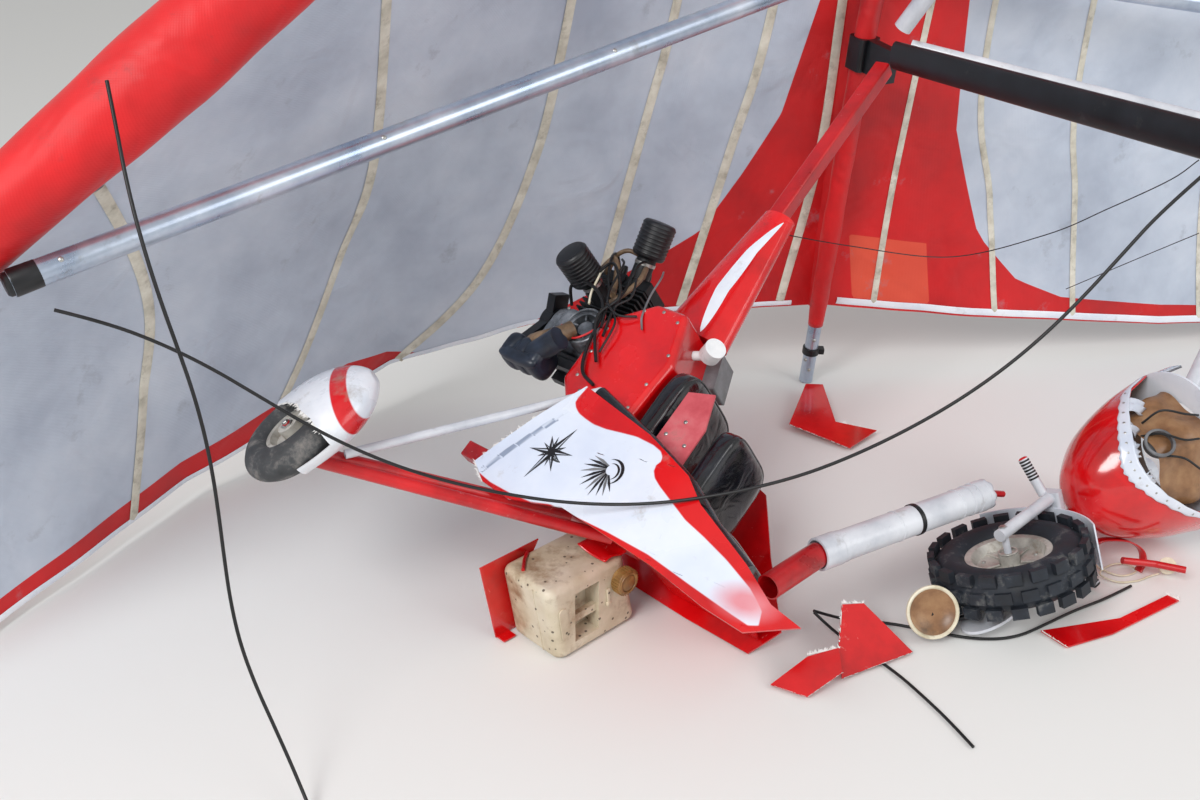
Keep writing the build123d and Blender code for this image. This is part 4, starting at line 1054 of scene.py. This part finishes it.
# Silencer: swollen lobes over the box; engine: bolts and spark plug caps
lobes = [superpillow(TRIKE, (x, -152, 250), (27, 52, 46), 0.62, 18, 28) for x in (-372, -322, -272)]
piece(
    "silencer_lobes", joined(lobes + [superpillow(TRIKE, (-322, -186, 222), (74, 20, 20), 0.7, 14, 24)]), DARK_PLASTIC,
)
head_bolts = [(x + dx, y, 647.2) for x in (-242, -338) for dx in (-32, 32) for y in (-42, 42)]
piece("head_bolts", studs(TRIKE.at(head_bolts), TRIKE.way((0, 0, 1)), 7, 6, 6), PLATED)
crank_bolts = [(-290 + dx, -88.2, 405 + dz) for dx in (-82, -20) for dz in (-55, 58)]
piece("crankcase_bolts", studs(TRIKE.at(crank_bolts), TRIKE.way((0, -1, 0)), 6, 4, 6), PLATED)
plug_caps = [
    turned(
        ((0, 0), (11, 0), (11, 26), (7, 40), (0, 42)), Place(TRIKE.at((x, -20, 647)), TRIKE.x, TRIKE.way((0, -0.4, 1))),
        14
    )
    for x in (-242, -338)
]
piece("spark_plug_caps", joined(plug_caps), BLACK_PLASTIC)

# Right spat: its skin painted with a red band, and the dry fibres that stand out of the torn edge
spat_points, spat_faces = dense_copy("spat_right", 16)
spat_local = WHEEL_RIGHT.within(spat_points)
band = 19 - np.abs(spat_local[:, 0] * 0.97 - spat_local[:, 1] * 0.22 - 168)
piece(
    "spat_skin_right", (spat_points, spat_faces), SPAT_SKIN, attributes={"red_band": band / 1000},
    stands_for=("spat_right",)
)


def fringe(edge, out, length, count, seed, spread=0.6):
    """Torn fibres: thin triangles standing out along an edge (metres), lengths and slants drawn from a seed."""
    draw = np.random.default_rng(seed)
    share = np.sort(draw.uniform(0, 1, count))
    step = share * (len(edge) - 1)
    before = np.minimum(step.astype(int), len(edge) - 2)
    root = edge[before] + (edge[before + 1] - edge[before]) * (step - before)[:, None]
    along = unit(edge[before + 1] - edge[before])
    reach = length * draw.uniform(0.3, 1.0, count)[:, None] / 1000
    wide = draw.uniform(1.5, 4.0, count)[:, None] / 1000
    tip = root + reach * unit(out + along * draw.uniform(-spread, spread, count)[:, None])
    thick = unit(np.cross(along, np.broadcast_to(out, along.shape))) * 0.0006
    points = np.stack(
        (
            root - along * wide - thick, root + along * wide - thick, tip, root + along * wide + thick,
            root - along * wide + thick
        ),
        1
    )
    faces = (np.arange(count)[:, None, None] * 5 + np.array([
        (0, 1, 2, 2), (3, 4, 2, 2), (0, 4, 3, 1), (1, 3, 2, 2), (4, 0, 2, 2)
    ])).reshape(-1, 4)
    return points.reshape(-1, 3), [list(dict.fromkeys(face)) for face in faces.tolist()]


tear = np.array([(3, 51), (24, 30), (58, -28), (60, -62), (74, -106), (77, -140)], float)
width_there, thick_there = np.interp(
    tear[:, 0], (-20, 60, 140), (154, 156, 132)
), np.interp(tear[:, 0], (-20, 60, 140), (74, 75, 70))
tear_line = WHEEL_RIGHT.at(np.column_stack((tear, thick_there * np.sqrt(1 - (tear[:, 1] / width_there) ** 2) - 2)))
piece(
    "spat_torn_fibres", fringe(tear_line, WHEEL_RIGHT.way((-1, -0.3, 0.2)), 16, 90, 5), TORN_FIBRE,
    closed=False
)

# Wheels: axle nuts, and the nose rim's ribs and studs
piece(
    "axle_nut_right", turned(((0, 46), (7, 46), (9, 44), (9, 38), (16, 37), (17, 34.6), (0, 34.6)), WHEEL_RIGHT, 6),
    PLATED
)
piece(
    "nose_axle_nut", turned(((0, 112), (9, 112), (12, 109.5), (12, 109.2), (0, 109.2)), NOSE_UNIT, 6), PLATED,
    body="steering"
)
spokes = wedges(((30, 0.22), (88, 0.08), (88, -0.08), (30, -0.22)), 5, 4.5, 10, NOSE_UNIT)
piece(
    "nose_rim_ribs", joined(spokes + [turned(((21, 34.2), (27, 34.2), (27, 38), (21, 38)), NOSE_UNIT, 24)]), RIM,
    body="nose_wheel", bevel=1.5
)
rim_studs = [(72 * math.cos(a), 72 * math.sin(a), 5.5) for a in np.radians(np.arange(36, 396, 72))]
piece("nose_rim_studs", studs(NOSE_UNIT.at(rim_studs), NOSE_UNIT.z, 6, 5, 6), PLATED, body="nose_wheel")

# Tank: a moulded seam, the cap's ridges, a latch tab, a strap's stub and the red flap that hung over it
seam_z = np.linspace(10, 216, 22)
seam = np.column_stack((-142 - 35 * seam_z / 226 - 0.3, np.full(22, -34.0), seam_z))
piece("tank_moulded_seam", tube(TANK.at(seam), 1.6, 8), TANK_SKIN)
cap_place = Place(TANK.at((76, -125.2, 158)), TANK.x, TANK.way((0, -1, 0)))
ridges = wedges(((35.5, -0.05), (38.2, -0.035), (38.2, 0.035), (35.5, 0.05)), 28, -27, -3, cap_place)
piece(
    "tank_cap_ridges",
    joined(ridges + [turned(
        ((0, 1.6), (20, 1.6), (22, 0.2), (24, 0.2), (25, 2.2), (30, 2.2), (31, 0.2), (0, 0.2)), cap_place, 40
    )]),
    CAP_PLASTIC
)
tank_face = Place(TANK.origin, TANK.x, TANK.way((0, -1, 0)))
# in this place x runs along the tank, y is up, z is out of the face
tabs = [
    prism([(22, 150), (34, 150), (31, 96), (25, 96)], 95.3, 102, tank_face),
    turned(((0, 104), (7, 104), (8, 100), (8, 95.3), (0, 95.3)), tank_face, 16, (28, 104))
]
piece("tank_latch_tab", joined(tabs), TANK_SKIN, bevel=1.5)
flap_x, flap_y = np.linspace(0, 1, 18)[:, None], np.linspace(0, 1, 12)[None, :]
flap_rise = 229 + 24 * (1 - flap_y) ** 2 + 5 * np.sin(7 * flap_x) * flap_y + 3 * flap_y
flap = TANK.at(np.stack(((6 + 96 * flap_x) + 16 * flap_y, -4 - 88 * flap_y + 0 * flap_x, flap_rise), -1))
flap_piece = piece("torn_red_flap", lattice(flap), RED_SHELL, closed=False)
thicken(flap_piece, "laminate", 0.003)
piece(
    "tank_strap_stub", tube(TANK.at([(-150, 30, 230), (-120, 60, 231), (-90, 84, 229)]), 5, 8), RED_PAINT
)


# Nose fairing: the same ellipses as the solid's skin, with the side that was torn open, in the fairing's own frame
RINGS = curve([(42, 14, 16), (54, 62, 72), (90, 100, 120), (160, 145, 174), (280, 184, 222), (408, 205, 250)], 12)
# direction round the fairing in degrees from its y, distance from the tip's plane where the torn side ends
TORN_SIDE = (
    (0, 408), (58, 408), (64, 350), (67, 310), (78, 262), (91, 218), (103, 190), (115, 171), (126, 159), (137, 154),
    (148, 159), (158, 170), (174, 208), (188, 268), (197, 320), (203, 372), (208, 408), (360, 408)
)


def torn_edge(turn):
    """Distance from the tip's plane where the torn side ends, in a direction in radians."""
    return np.interp(np.degrees(turn), *np.array(TORN_SIDE).T)


def fairing_skin(distance, turn, scale=1.0):
    """Points on the fairing's ellipses at a distance along it and a direction round it, drawn in or out by a scale."""
    wide, tall = np.interp(distance, RINGS[:, 0], RINGS[:, 1]), np.interp(distance, RINGS[:, 0], RINGS[:, 2])
    return FAIRING.at(np.stack((distance + 0 * turn, wide * np.cos(turn) * scale, tall * np.sin(turn) * scale), -1))


around = np.radians(np.linspace(0, 360, 220, endpoint=False))[None, :]
edge_at = torn_edge(around)
down = np.linspace(0, 1, 56)[:, None] ** 1.3
shell = fairing_skin(42.5 + (edge_at - 42.5) * down, around)
tip = np.repeat(FAIRING.at([(42.5, 0, 0)])[None], 220, axis=1)
nose_shell = piece(
    "nose_fairing_skin", lattice(np.concatenate((tip, shell)), round_columns=True), RED_SHELL,
    stands_for=("nose_fairing",)
)
nose_shell.data.materials.append(BROWN_DISH)
wall = thicken(nose_shell, "laminate", 0.0045)
wall.offset = -1
wall.material_offset = 1
flange_turn = np.radians(np.linspace(61, 205, 110))[:, None]
flange_edge = torn_edge(flange_turn)
across = np.linspace(0, 1, 7)[None, :]
flange = fairing_skin(
    flange_edge + 3 - 40 * across + 2.5 * np.sin(40 * flange_turn) * (across > 0.9), flange_turn,
    1.014 + 0.006 * np.sin(np.pi * across)
)
flange_piece = piece("nose_flange", lattice(flange), WHITE_SHELL, closed=False)
thicken(flange_piece, "laminate", 0.0025)
rivet_turn = np.radians(np.arange(70, 204, 9.0))
rivet_edge = torn_edge(rivet_turn)
rivet_at = fairing_skin(rivet_edge - 17, rivet_turn, 1.024)
piece("nose_flange_rivets", studs(rivet_at, unit(rivet_at - FAIRING.at((250, 0, 0))), 5.5, 2.6), PLATED)
# Inside: a brown liner, wall pieces bent in from the flange, a grey cup for a dial and loose cables on guessed routes
liner_turn, liner_far = np.radians(np.linspace(70, 200, 40))[:, None], np.linspace(232, 404, 24)[None, :]
liner_scale = 0.74 + 0.05 * np.sin(6 * liner_turn) + 0.02 * np.sin(0.06 * liner_far)
piece(
    "nose_liner", lattice(fairing_skin(liner_far + 0 * liner_turn, liner_turn, liner_scale)), BROWN_DISH,
    closed=False
)
# direction from and to in degrees, reach in mm, lean inward at the end
for number, (turn_from, turn_to, reach, lean) in enumerate(
    ((76, 89, 74, 0.24), (98, 106, 58, 0.3), (116, 133, 46, 0.2), (150, 161, 52, 0.26)), 1
):
    flap_turn, flap_share = np.radians(np.linspace(turn_from, turn_to, 9))[:, None], np.linspace(0, 1, 8)[None, :]
    flap_edge = torn_edge(flap_turn)
    flap_end = reach * (1 - 0.35 * np.abs(np.sin(30 * flap_turn)))
    bent = fairing_skin(flap_edge - 4 + flap_end * flap_share, flap_turn, 1.012 - lean * flap_share**1.4)
    wall_piece = piece(f"nose_bent_wall_{number}", lattice(bent), WHITE_SHELL, closed=False)
    thicken(wall_piece, "laminate", 0.0022)
inner_routes = (
    ((236, 108, 0.70), (262, 122, 0.86), (300, 136, 0.92), (352, 140, 0.86)),
    ((262, 96, 0.74), (300, 104, 0.9), (340, 118, 0.93), (388, 122, 0.84)),
    ((250, 140, 0.76), (286, 150, 0.9), (330, 164, 0.93), (384, 168, 0.88)),
)
inner_cables = [
    tube(curve([fairing_skin(np.array(float(far)), np.radians(turn), scale) for far, turn, scale in route], 10), 3.2, 8)
    for route in inner_routes
]
piece("nose_inner_cables", joined(inner_cables), WIRE_COVER)
cup_at = fairing_skin(np.array(252.0), np.radians(128.0), 0.80)
cup_out = unit(cup_at - FAIRING.at((290, 0, 0)))
cup = Place(cup_at, FAIRING.x, cup_out)
piece(
    "dial_cup", turned(((0, -16), (34, -16), (34, 6), (40, 6), (42, 3), (40, -1), (38, -20), (0, -20)), cup, 36),
    GREY_PLASTIC
)

# Brown dish with a cream rim beside the tyre; that it hangs from the fork, and its arm, are guessed
dish = Place(spot(868, 2537, 86), (1, 0, 0), (0.06, -0.88, 0.47))
bowl = turned(((0, -20), (30, -19), (52, -12), (62, -3), (64, 0), (60, 0), (48, -9), (26, -15.5), (0, -16.5)), dish, 48)
rim = turned(((60, -2), (62, 3), (66, 5), (70, 3), (71, -2), (68, -6), (62, -4), (60, -2)), dish, 48)
piece("fork_dish_bowl", bowl, BROWN_DISH, body="steering")
piece("fork_dish_rim", rim, CREAM_PLASTIC, body="steering")
piece(
    "fork_dish_arm", tube([spot(868, 2552, 70), spot(905, 2562, 50), spot(945, 2572, 38), spot(985, 2585, 37)], 7, 10),
    BLACK_TUBE, body="steering"
)
# Pegs: a red plug in one end and a black one in the other, ribs of rubber on both
for number, (root, end) in enumerate((((238, 20, 100), (240, 63, 205)), ((238, -20, -100), (240, -88, -166))), 1):
    root, end = np.array(root, float), np.array(end, float)
    peg = Place(NOSE_UNIT.at(end), NOSE_UNIT.x, NOSE_UNIT.way(end - root))
    grips = [turned(((14.1, -h), (14.9, -h - 1.5), (14.9, -h - 4), (14.1, -h - 5.5)), peg, 24) for h in range(4, 60, 9)]
    piece(f"peg_grip_{number}", joined(grips), WIRE_COVER, body="steering")
    piece(
        f"peg_plug_{number}", turned(((0, 5), (8, 4.5), (12, 2), (13, 0.2), (0, 0.2)), peg, 24),
        RED_PLASTIC if number == 1 else BLACK_PLASTIC, body="steering"
    )
# Bent red bracket, a cream pulley and loops of thin cream line on the ground behind the wheel
arch = curve(
    spots((
        (1388, 2882, 8), (1400, 2884, 40), (1430, 2884, 74), (1466, 2879, 84), (1508, 2872, 82), (1546, 2866, 58),
        (1552, 2850, 30), (1536, 2834, 8)
    )),
    6
)
arch_aside = np.array((0.35, -0.9, 0.2))
arch_band = np.stack([arch + arch_aside * w for w in np.linspace(-0.013, 0.013, 4)], 1)
arch_piece = piece("bent_red_bracket", lattice(arch_band), RED_PAINT, closed=False)
thicken(arch_piece, "plate", 0.004)
pulley = Place(spot(1617, 2833, 26), (1, 0, 0), (-0.25, -0.75, 0.6))
piece(
    "cream_pulley",
    turned(((6, -8), (20, -8), (24, -7), (20, -2), (20, 2), (24, 7), (20, 8), (6, 8), (6, -8)), pulley, 36),
    CREAM_PLASTIC
)
loops = curve(
    spots((
        (1424, 2880, 4), (1444, 2842, 4), (1486, 2816, 4), (1534, 2838, 4), (1520, 2872, 5), (1470, 2862, 9),
        (1424, 2822, 6), (1462, 2786, 4), (1520, 2792, 4), (1560, 2812, 4), (1594, 2826, 4)
    )),
    9
)
piece("cream_line_loops", tube(loops, 2.6, 8), CREAM_PLASTIC)

# Front tube: a black band, a stepped sleeve and a scalloped broken end
front_start, front_end = spot(545, 2500, 292), spot(1030, 2770, 300)
front = Place(front_start, (0, 0, 1), front_end - front_start)
long = np.linalg.norm(front_end - front_start) * 1000
# skin lies just over the tube's surface; a sleeve is (where it starts, radius, width), in mm
skin = 40.2
sleeves = (
    (0, 43.5, 60), (60, 41.8, 16), (250, 41.6, 5), (long - 96, 41.7, 6), (long - 60, 42.0, 8), (long - 34, 42.8, 30)
)
band_at, band_radius = long * 0.56, 42.5
white_steps = [
    turned(((skin, a), (r, a + 0.8), (r, a + w - 0.8), (skin, a + w)), front, 40) for a, r, w in sleeves
]
piece("front_tube_sleeves", joined(white_steps), WHITE_PAINT)
piece(
    "front_tube_band",
    turned(
        ((skin, band_at), (band_radius, band_at + 1), (band_radius, band_at + 12), (skin, band_at + 13)), front, 40
    ),
    BLACK_PLASTIC
)
scallop_turn = np.linspace(0, 2 * np.pi, 96, endpoint=False)[None, :]
scallop_far = np.linspace(0, 1, 4)[:, None]
reach = long - 4 + scallop_far * (13 + 6 * np.abs(np.sin(4 * scallop_turn)))
scallops = front.at(np.stack(
    (39.4 * np.cos(scallop_turn) + 0 * reach, 39.4 * np.sin(scallop_turn) + 0 * reach, reach), -1
))
end_piece = piece(
    "front_tube_scalloped_end", lattice(scallops, round_columns=True), WHITE_PAINT, closed=False
)
thicken(end_piece, "tube_wall", 0.0022)

# Torn shards: white dry fibres along their broken edges
SHARD_EDGES = (
    ((425, 2345, 8), (510, 2300, 8), (600, 2340, 52)), ((600, 2400, 78), (520, 2390, 64)),
    ((606, 2366, 10), (808, 2470, 10)),
    ((690, 2560, 98), (630, 2540, 112), (610, 2440, 62)), ((660, 3690, 24), (845, 3541, 10)),
    ((955, 3646, 14), (823, 3700, 32), (818, 3950, 54)), ((1172, 2564, 5), (1218, 2496, 5)),
    ((1597, 2697, 5), (1575, 2722, 5)),
)
fibres = [
    fringe(spots(edge), np.array((0.1 - 0.2 * (i % 2), -0.5 + 0.9 * (i % 2), 0.35)), 15, 46, 20 + i)
    for i, edge in enumerate(SHARD_EDGES)
]
piece("shard_torn_fibres", joined(fibres), TORN_FIBRE, closed=False)
torn_rear = TRIKE.at([(-44, -273, 68), (-90, -272, -20), (-138, -268, -120), (-110, -268, -140), (-77, -266, -158)])
piece(
    "pod_torn_fibres", fringe(torn_rear, TRIKE.way((-1, 0, 0.1)), 20, 70, 41), TORN_FIBRE,
    closed=False
)

# Wing fittings: clamp and bolts on the keel's bare end, plugs (guessed) and bolts on the crossbars, two thin bridles
CROSSBAR_LEFT_END = (-1230, 2340, 1080)
keel = Place(KEEL_TAIL, (1, 0, 0), NOSE - KEEL_TAIL)
piece(
    "keel_clamp",
    joined([
        turned(((25.2, 118), (31, 120), (31, 146), (25.2, 148)), keel, 36),
        prism([(28, 14), (48, 14), (48, -14), (28, -14)], 122, 144, keel)
    ]),
    BLACK_PLASTIC, bevel=1.5
)
piece(
    "keel_bolts", studs(keel.at([(0, -25, 60), (0, -25, 190), (-18, -18, 100)]), (0, -1, 0.1), 8, 6, 6), PLATED,
)
for name, start, end in (
    ("left", CROSSBAR_LEFT_END, (804, 3834, 1540)), ("right", (3300, 4290, 1170), (896, 3876, 1542))
):
    bar = Place(spot(*start), (0, 0, 1), spot(*end) - spot(*start))
    piece(
        f"crossbar_plug_{name}",
        turned(((0, -14), (22, -13), (27, -8), (27, 0), (30.6, 0.5), (31.5, 4), (30.6, 60), (0, 60)), bar, 36),
        BLACK_PLASTIC
    )
bar_end = spot(*CROSSBAR_LEFT_END)
bar_way = unit(spot(850, 3868, 1550) - bar_end)
bolts = [bar_end + bar_way * d + np.array((0.0, -0.0262, 0.0152)) for d in (0.12, 0.9, 1.6, 2.2)]
piece("crossbar_bolts", studs(bolts, (0.2, -0.86, 0.5), 8, 5, 6), PLATED)
bridles = (
    (
        (509, 3650, 748), (790, 3600, 712), (1080, 3500, 712), (1303, 3350, 835), (1411, 3200, 966), (1487, 3050, 1090),
        (1515, 2980, 1163)
    ),
    ((1698, 4080, 375), (1826, 3900, 547), (1936, 3700, 720)),
)
for number, row in enumerate(bridles, 1):
    piece(f"thin_bridle_{number}", tube(curve(spots(row), 10), 1.6, 6), BLACK_TUBE)


def gusset(name, edge, start, end, shares, radii):
    """A strip of cloth from a sail's edge to the sleeve or pocket round a straight tube, towards the tube's axis."""
    axis = unit(end - start)
    radius = (np.interp((edge - start) @ axis / np.linalg.norm(end - start), shares, radii)[:, None] - 4) / 1000
    near = start + ((edge - start) @ axis)[:, None] * axis
    reach = np.linalg.norm(edge - near, axis=1, keepdims=True)
    root = near + (edge - near) / reach * np.minimum(radius, reach)
    across = np.linspace(0, 1, 5)[None, :, None]
    return piece(
        name, lattice(root[:, None] * (1 - across) + edge[:, None] * across), RED_CLOTH, closed=False
    )


for side, sail, wing_tip in (("left", LEFT, TIP_LEFT), ("right", RIGHT, TIP_RIGHT)):
    gusset(f"leading_edge_strip_{side}", sail.surface[:, 0], NOSE, wing_tip, SLEEVE_SHARES, SLEEVE_RADII)
    gusset(f"keel_strip_{side}", sail.surface[0], KEEL_TAIL, NOSE, (0, 1), (34, 34))


# Floor, lamps and sky
SKY_ON_OBJECT = 0.55


def stage_and_light():
    """A pale floor far wider than the view, two soft lamps and an even sky: white for camera and transmission rays,
    weaker for all others. Glossy rays get the weaker one too, so metal does not show the white background."""
    floor_mesh = bpy.data.meshes.new("studio_floor")
    reach = 60
    floor_mesh.from_pydata(
        [(-reach, -reach, -0.002), (reach, -reach, -0.002), (reach, reach, -0.002), (-reach, reach, -0.002)], [],
        [(0, 1, 2, 3)]
    )
    floor = bpy.data.objects.new("studio_floor", floor_mesh)
    bpy.context.scene.collection.objects.link(floor)
    pale = bpy.data.materials.new("matt_pale_floor")
    pale.use_nodes = True
    pale.node_tree.nodes["Principled BSDF"].inputs["Base Color"].default_value = linear("#e6e6e4")
    pale.node_tree.nodes["Principled BSDF"].inputs["Roughness"].default_value = 0.9
    floor_mesh.materials.append(pale)
    for name, place, aim, size, power in (
        ("key_lamp", (-5.0, -7.0, 7.0), (0, 0, 0.8), 4.0, 650),
        ("fill_lamp", (6.0, -5.0, 5.0), (0, 0, 0.8), 5.0, 220),
    ):
        lamp = bpy.data.objects.new(name, bpy.data.lights.new(name, "AREA"))
        lamp.data.size = size
        lamp.data.energy = power
        lamp.location = place
        direction = np.array(aim) - np.array(place)
        lamp.rotation_euler = Vector(direction).to_track_quat("-Z", "Y").to_euler()
        bpy.context.scene.collection.objects.link(lamp)
    world = bpy.data.worlds.new("even_sky")
    bpy.context.scene.world = world
    world.use_nodes = True
    tree = world.node_tree
    path = add(tree, "ShaderNodeLightPath")
    seen = add(
        tree, "ShaderNodeMath", {0: path.outputs["Is Camera Ray"], 1: path.outputs["Is Transmission Ray"]},
        operation="ADD", use_clamp=True
    )
    strength = add(tree, "ShaderNodeMapRange", {"Value": seen.outputs[0], "To Min": SKY_ON_OBJECT, "To Max": 1.0})
    background = tree.nodes["Background"]
    background.inputs["Color"].default_value = (1, 1, 1, 1)
    tree.links.new(strength.outputs["Result"], background.inputs["Strength"])


stage_and_light()
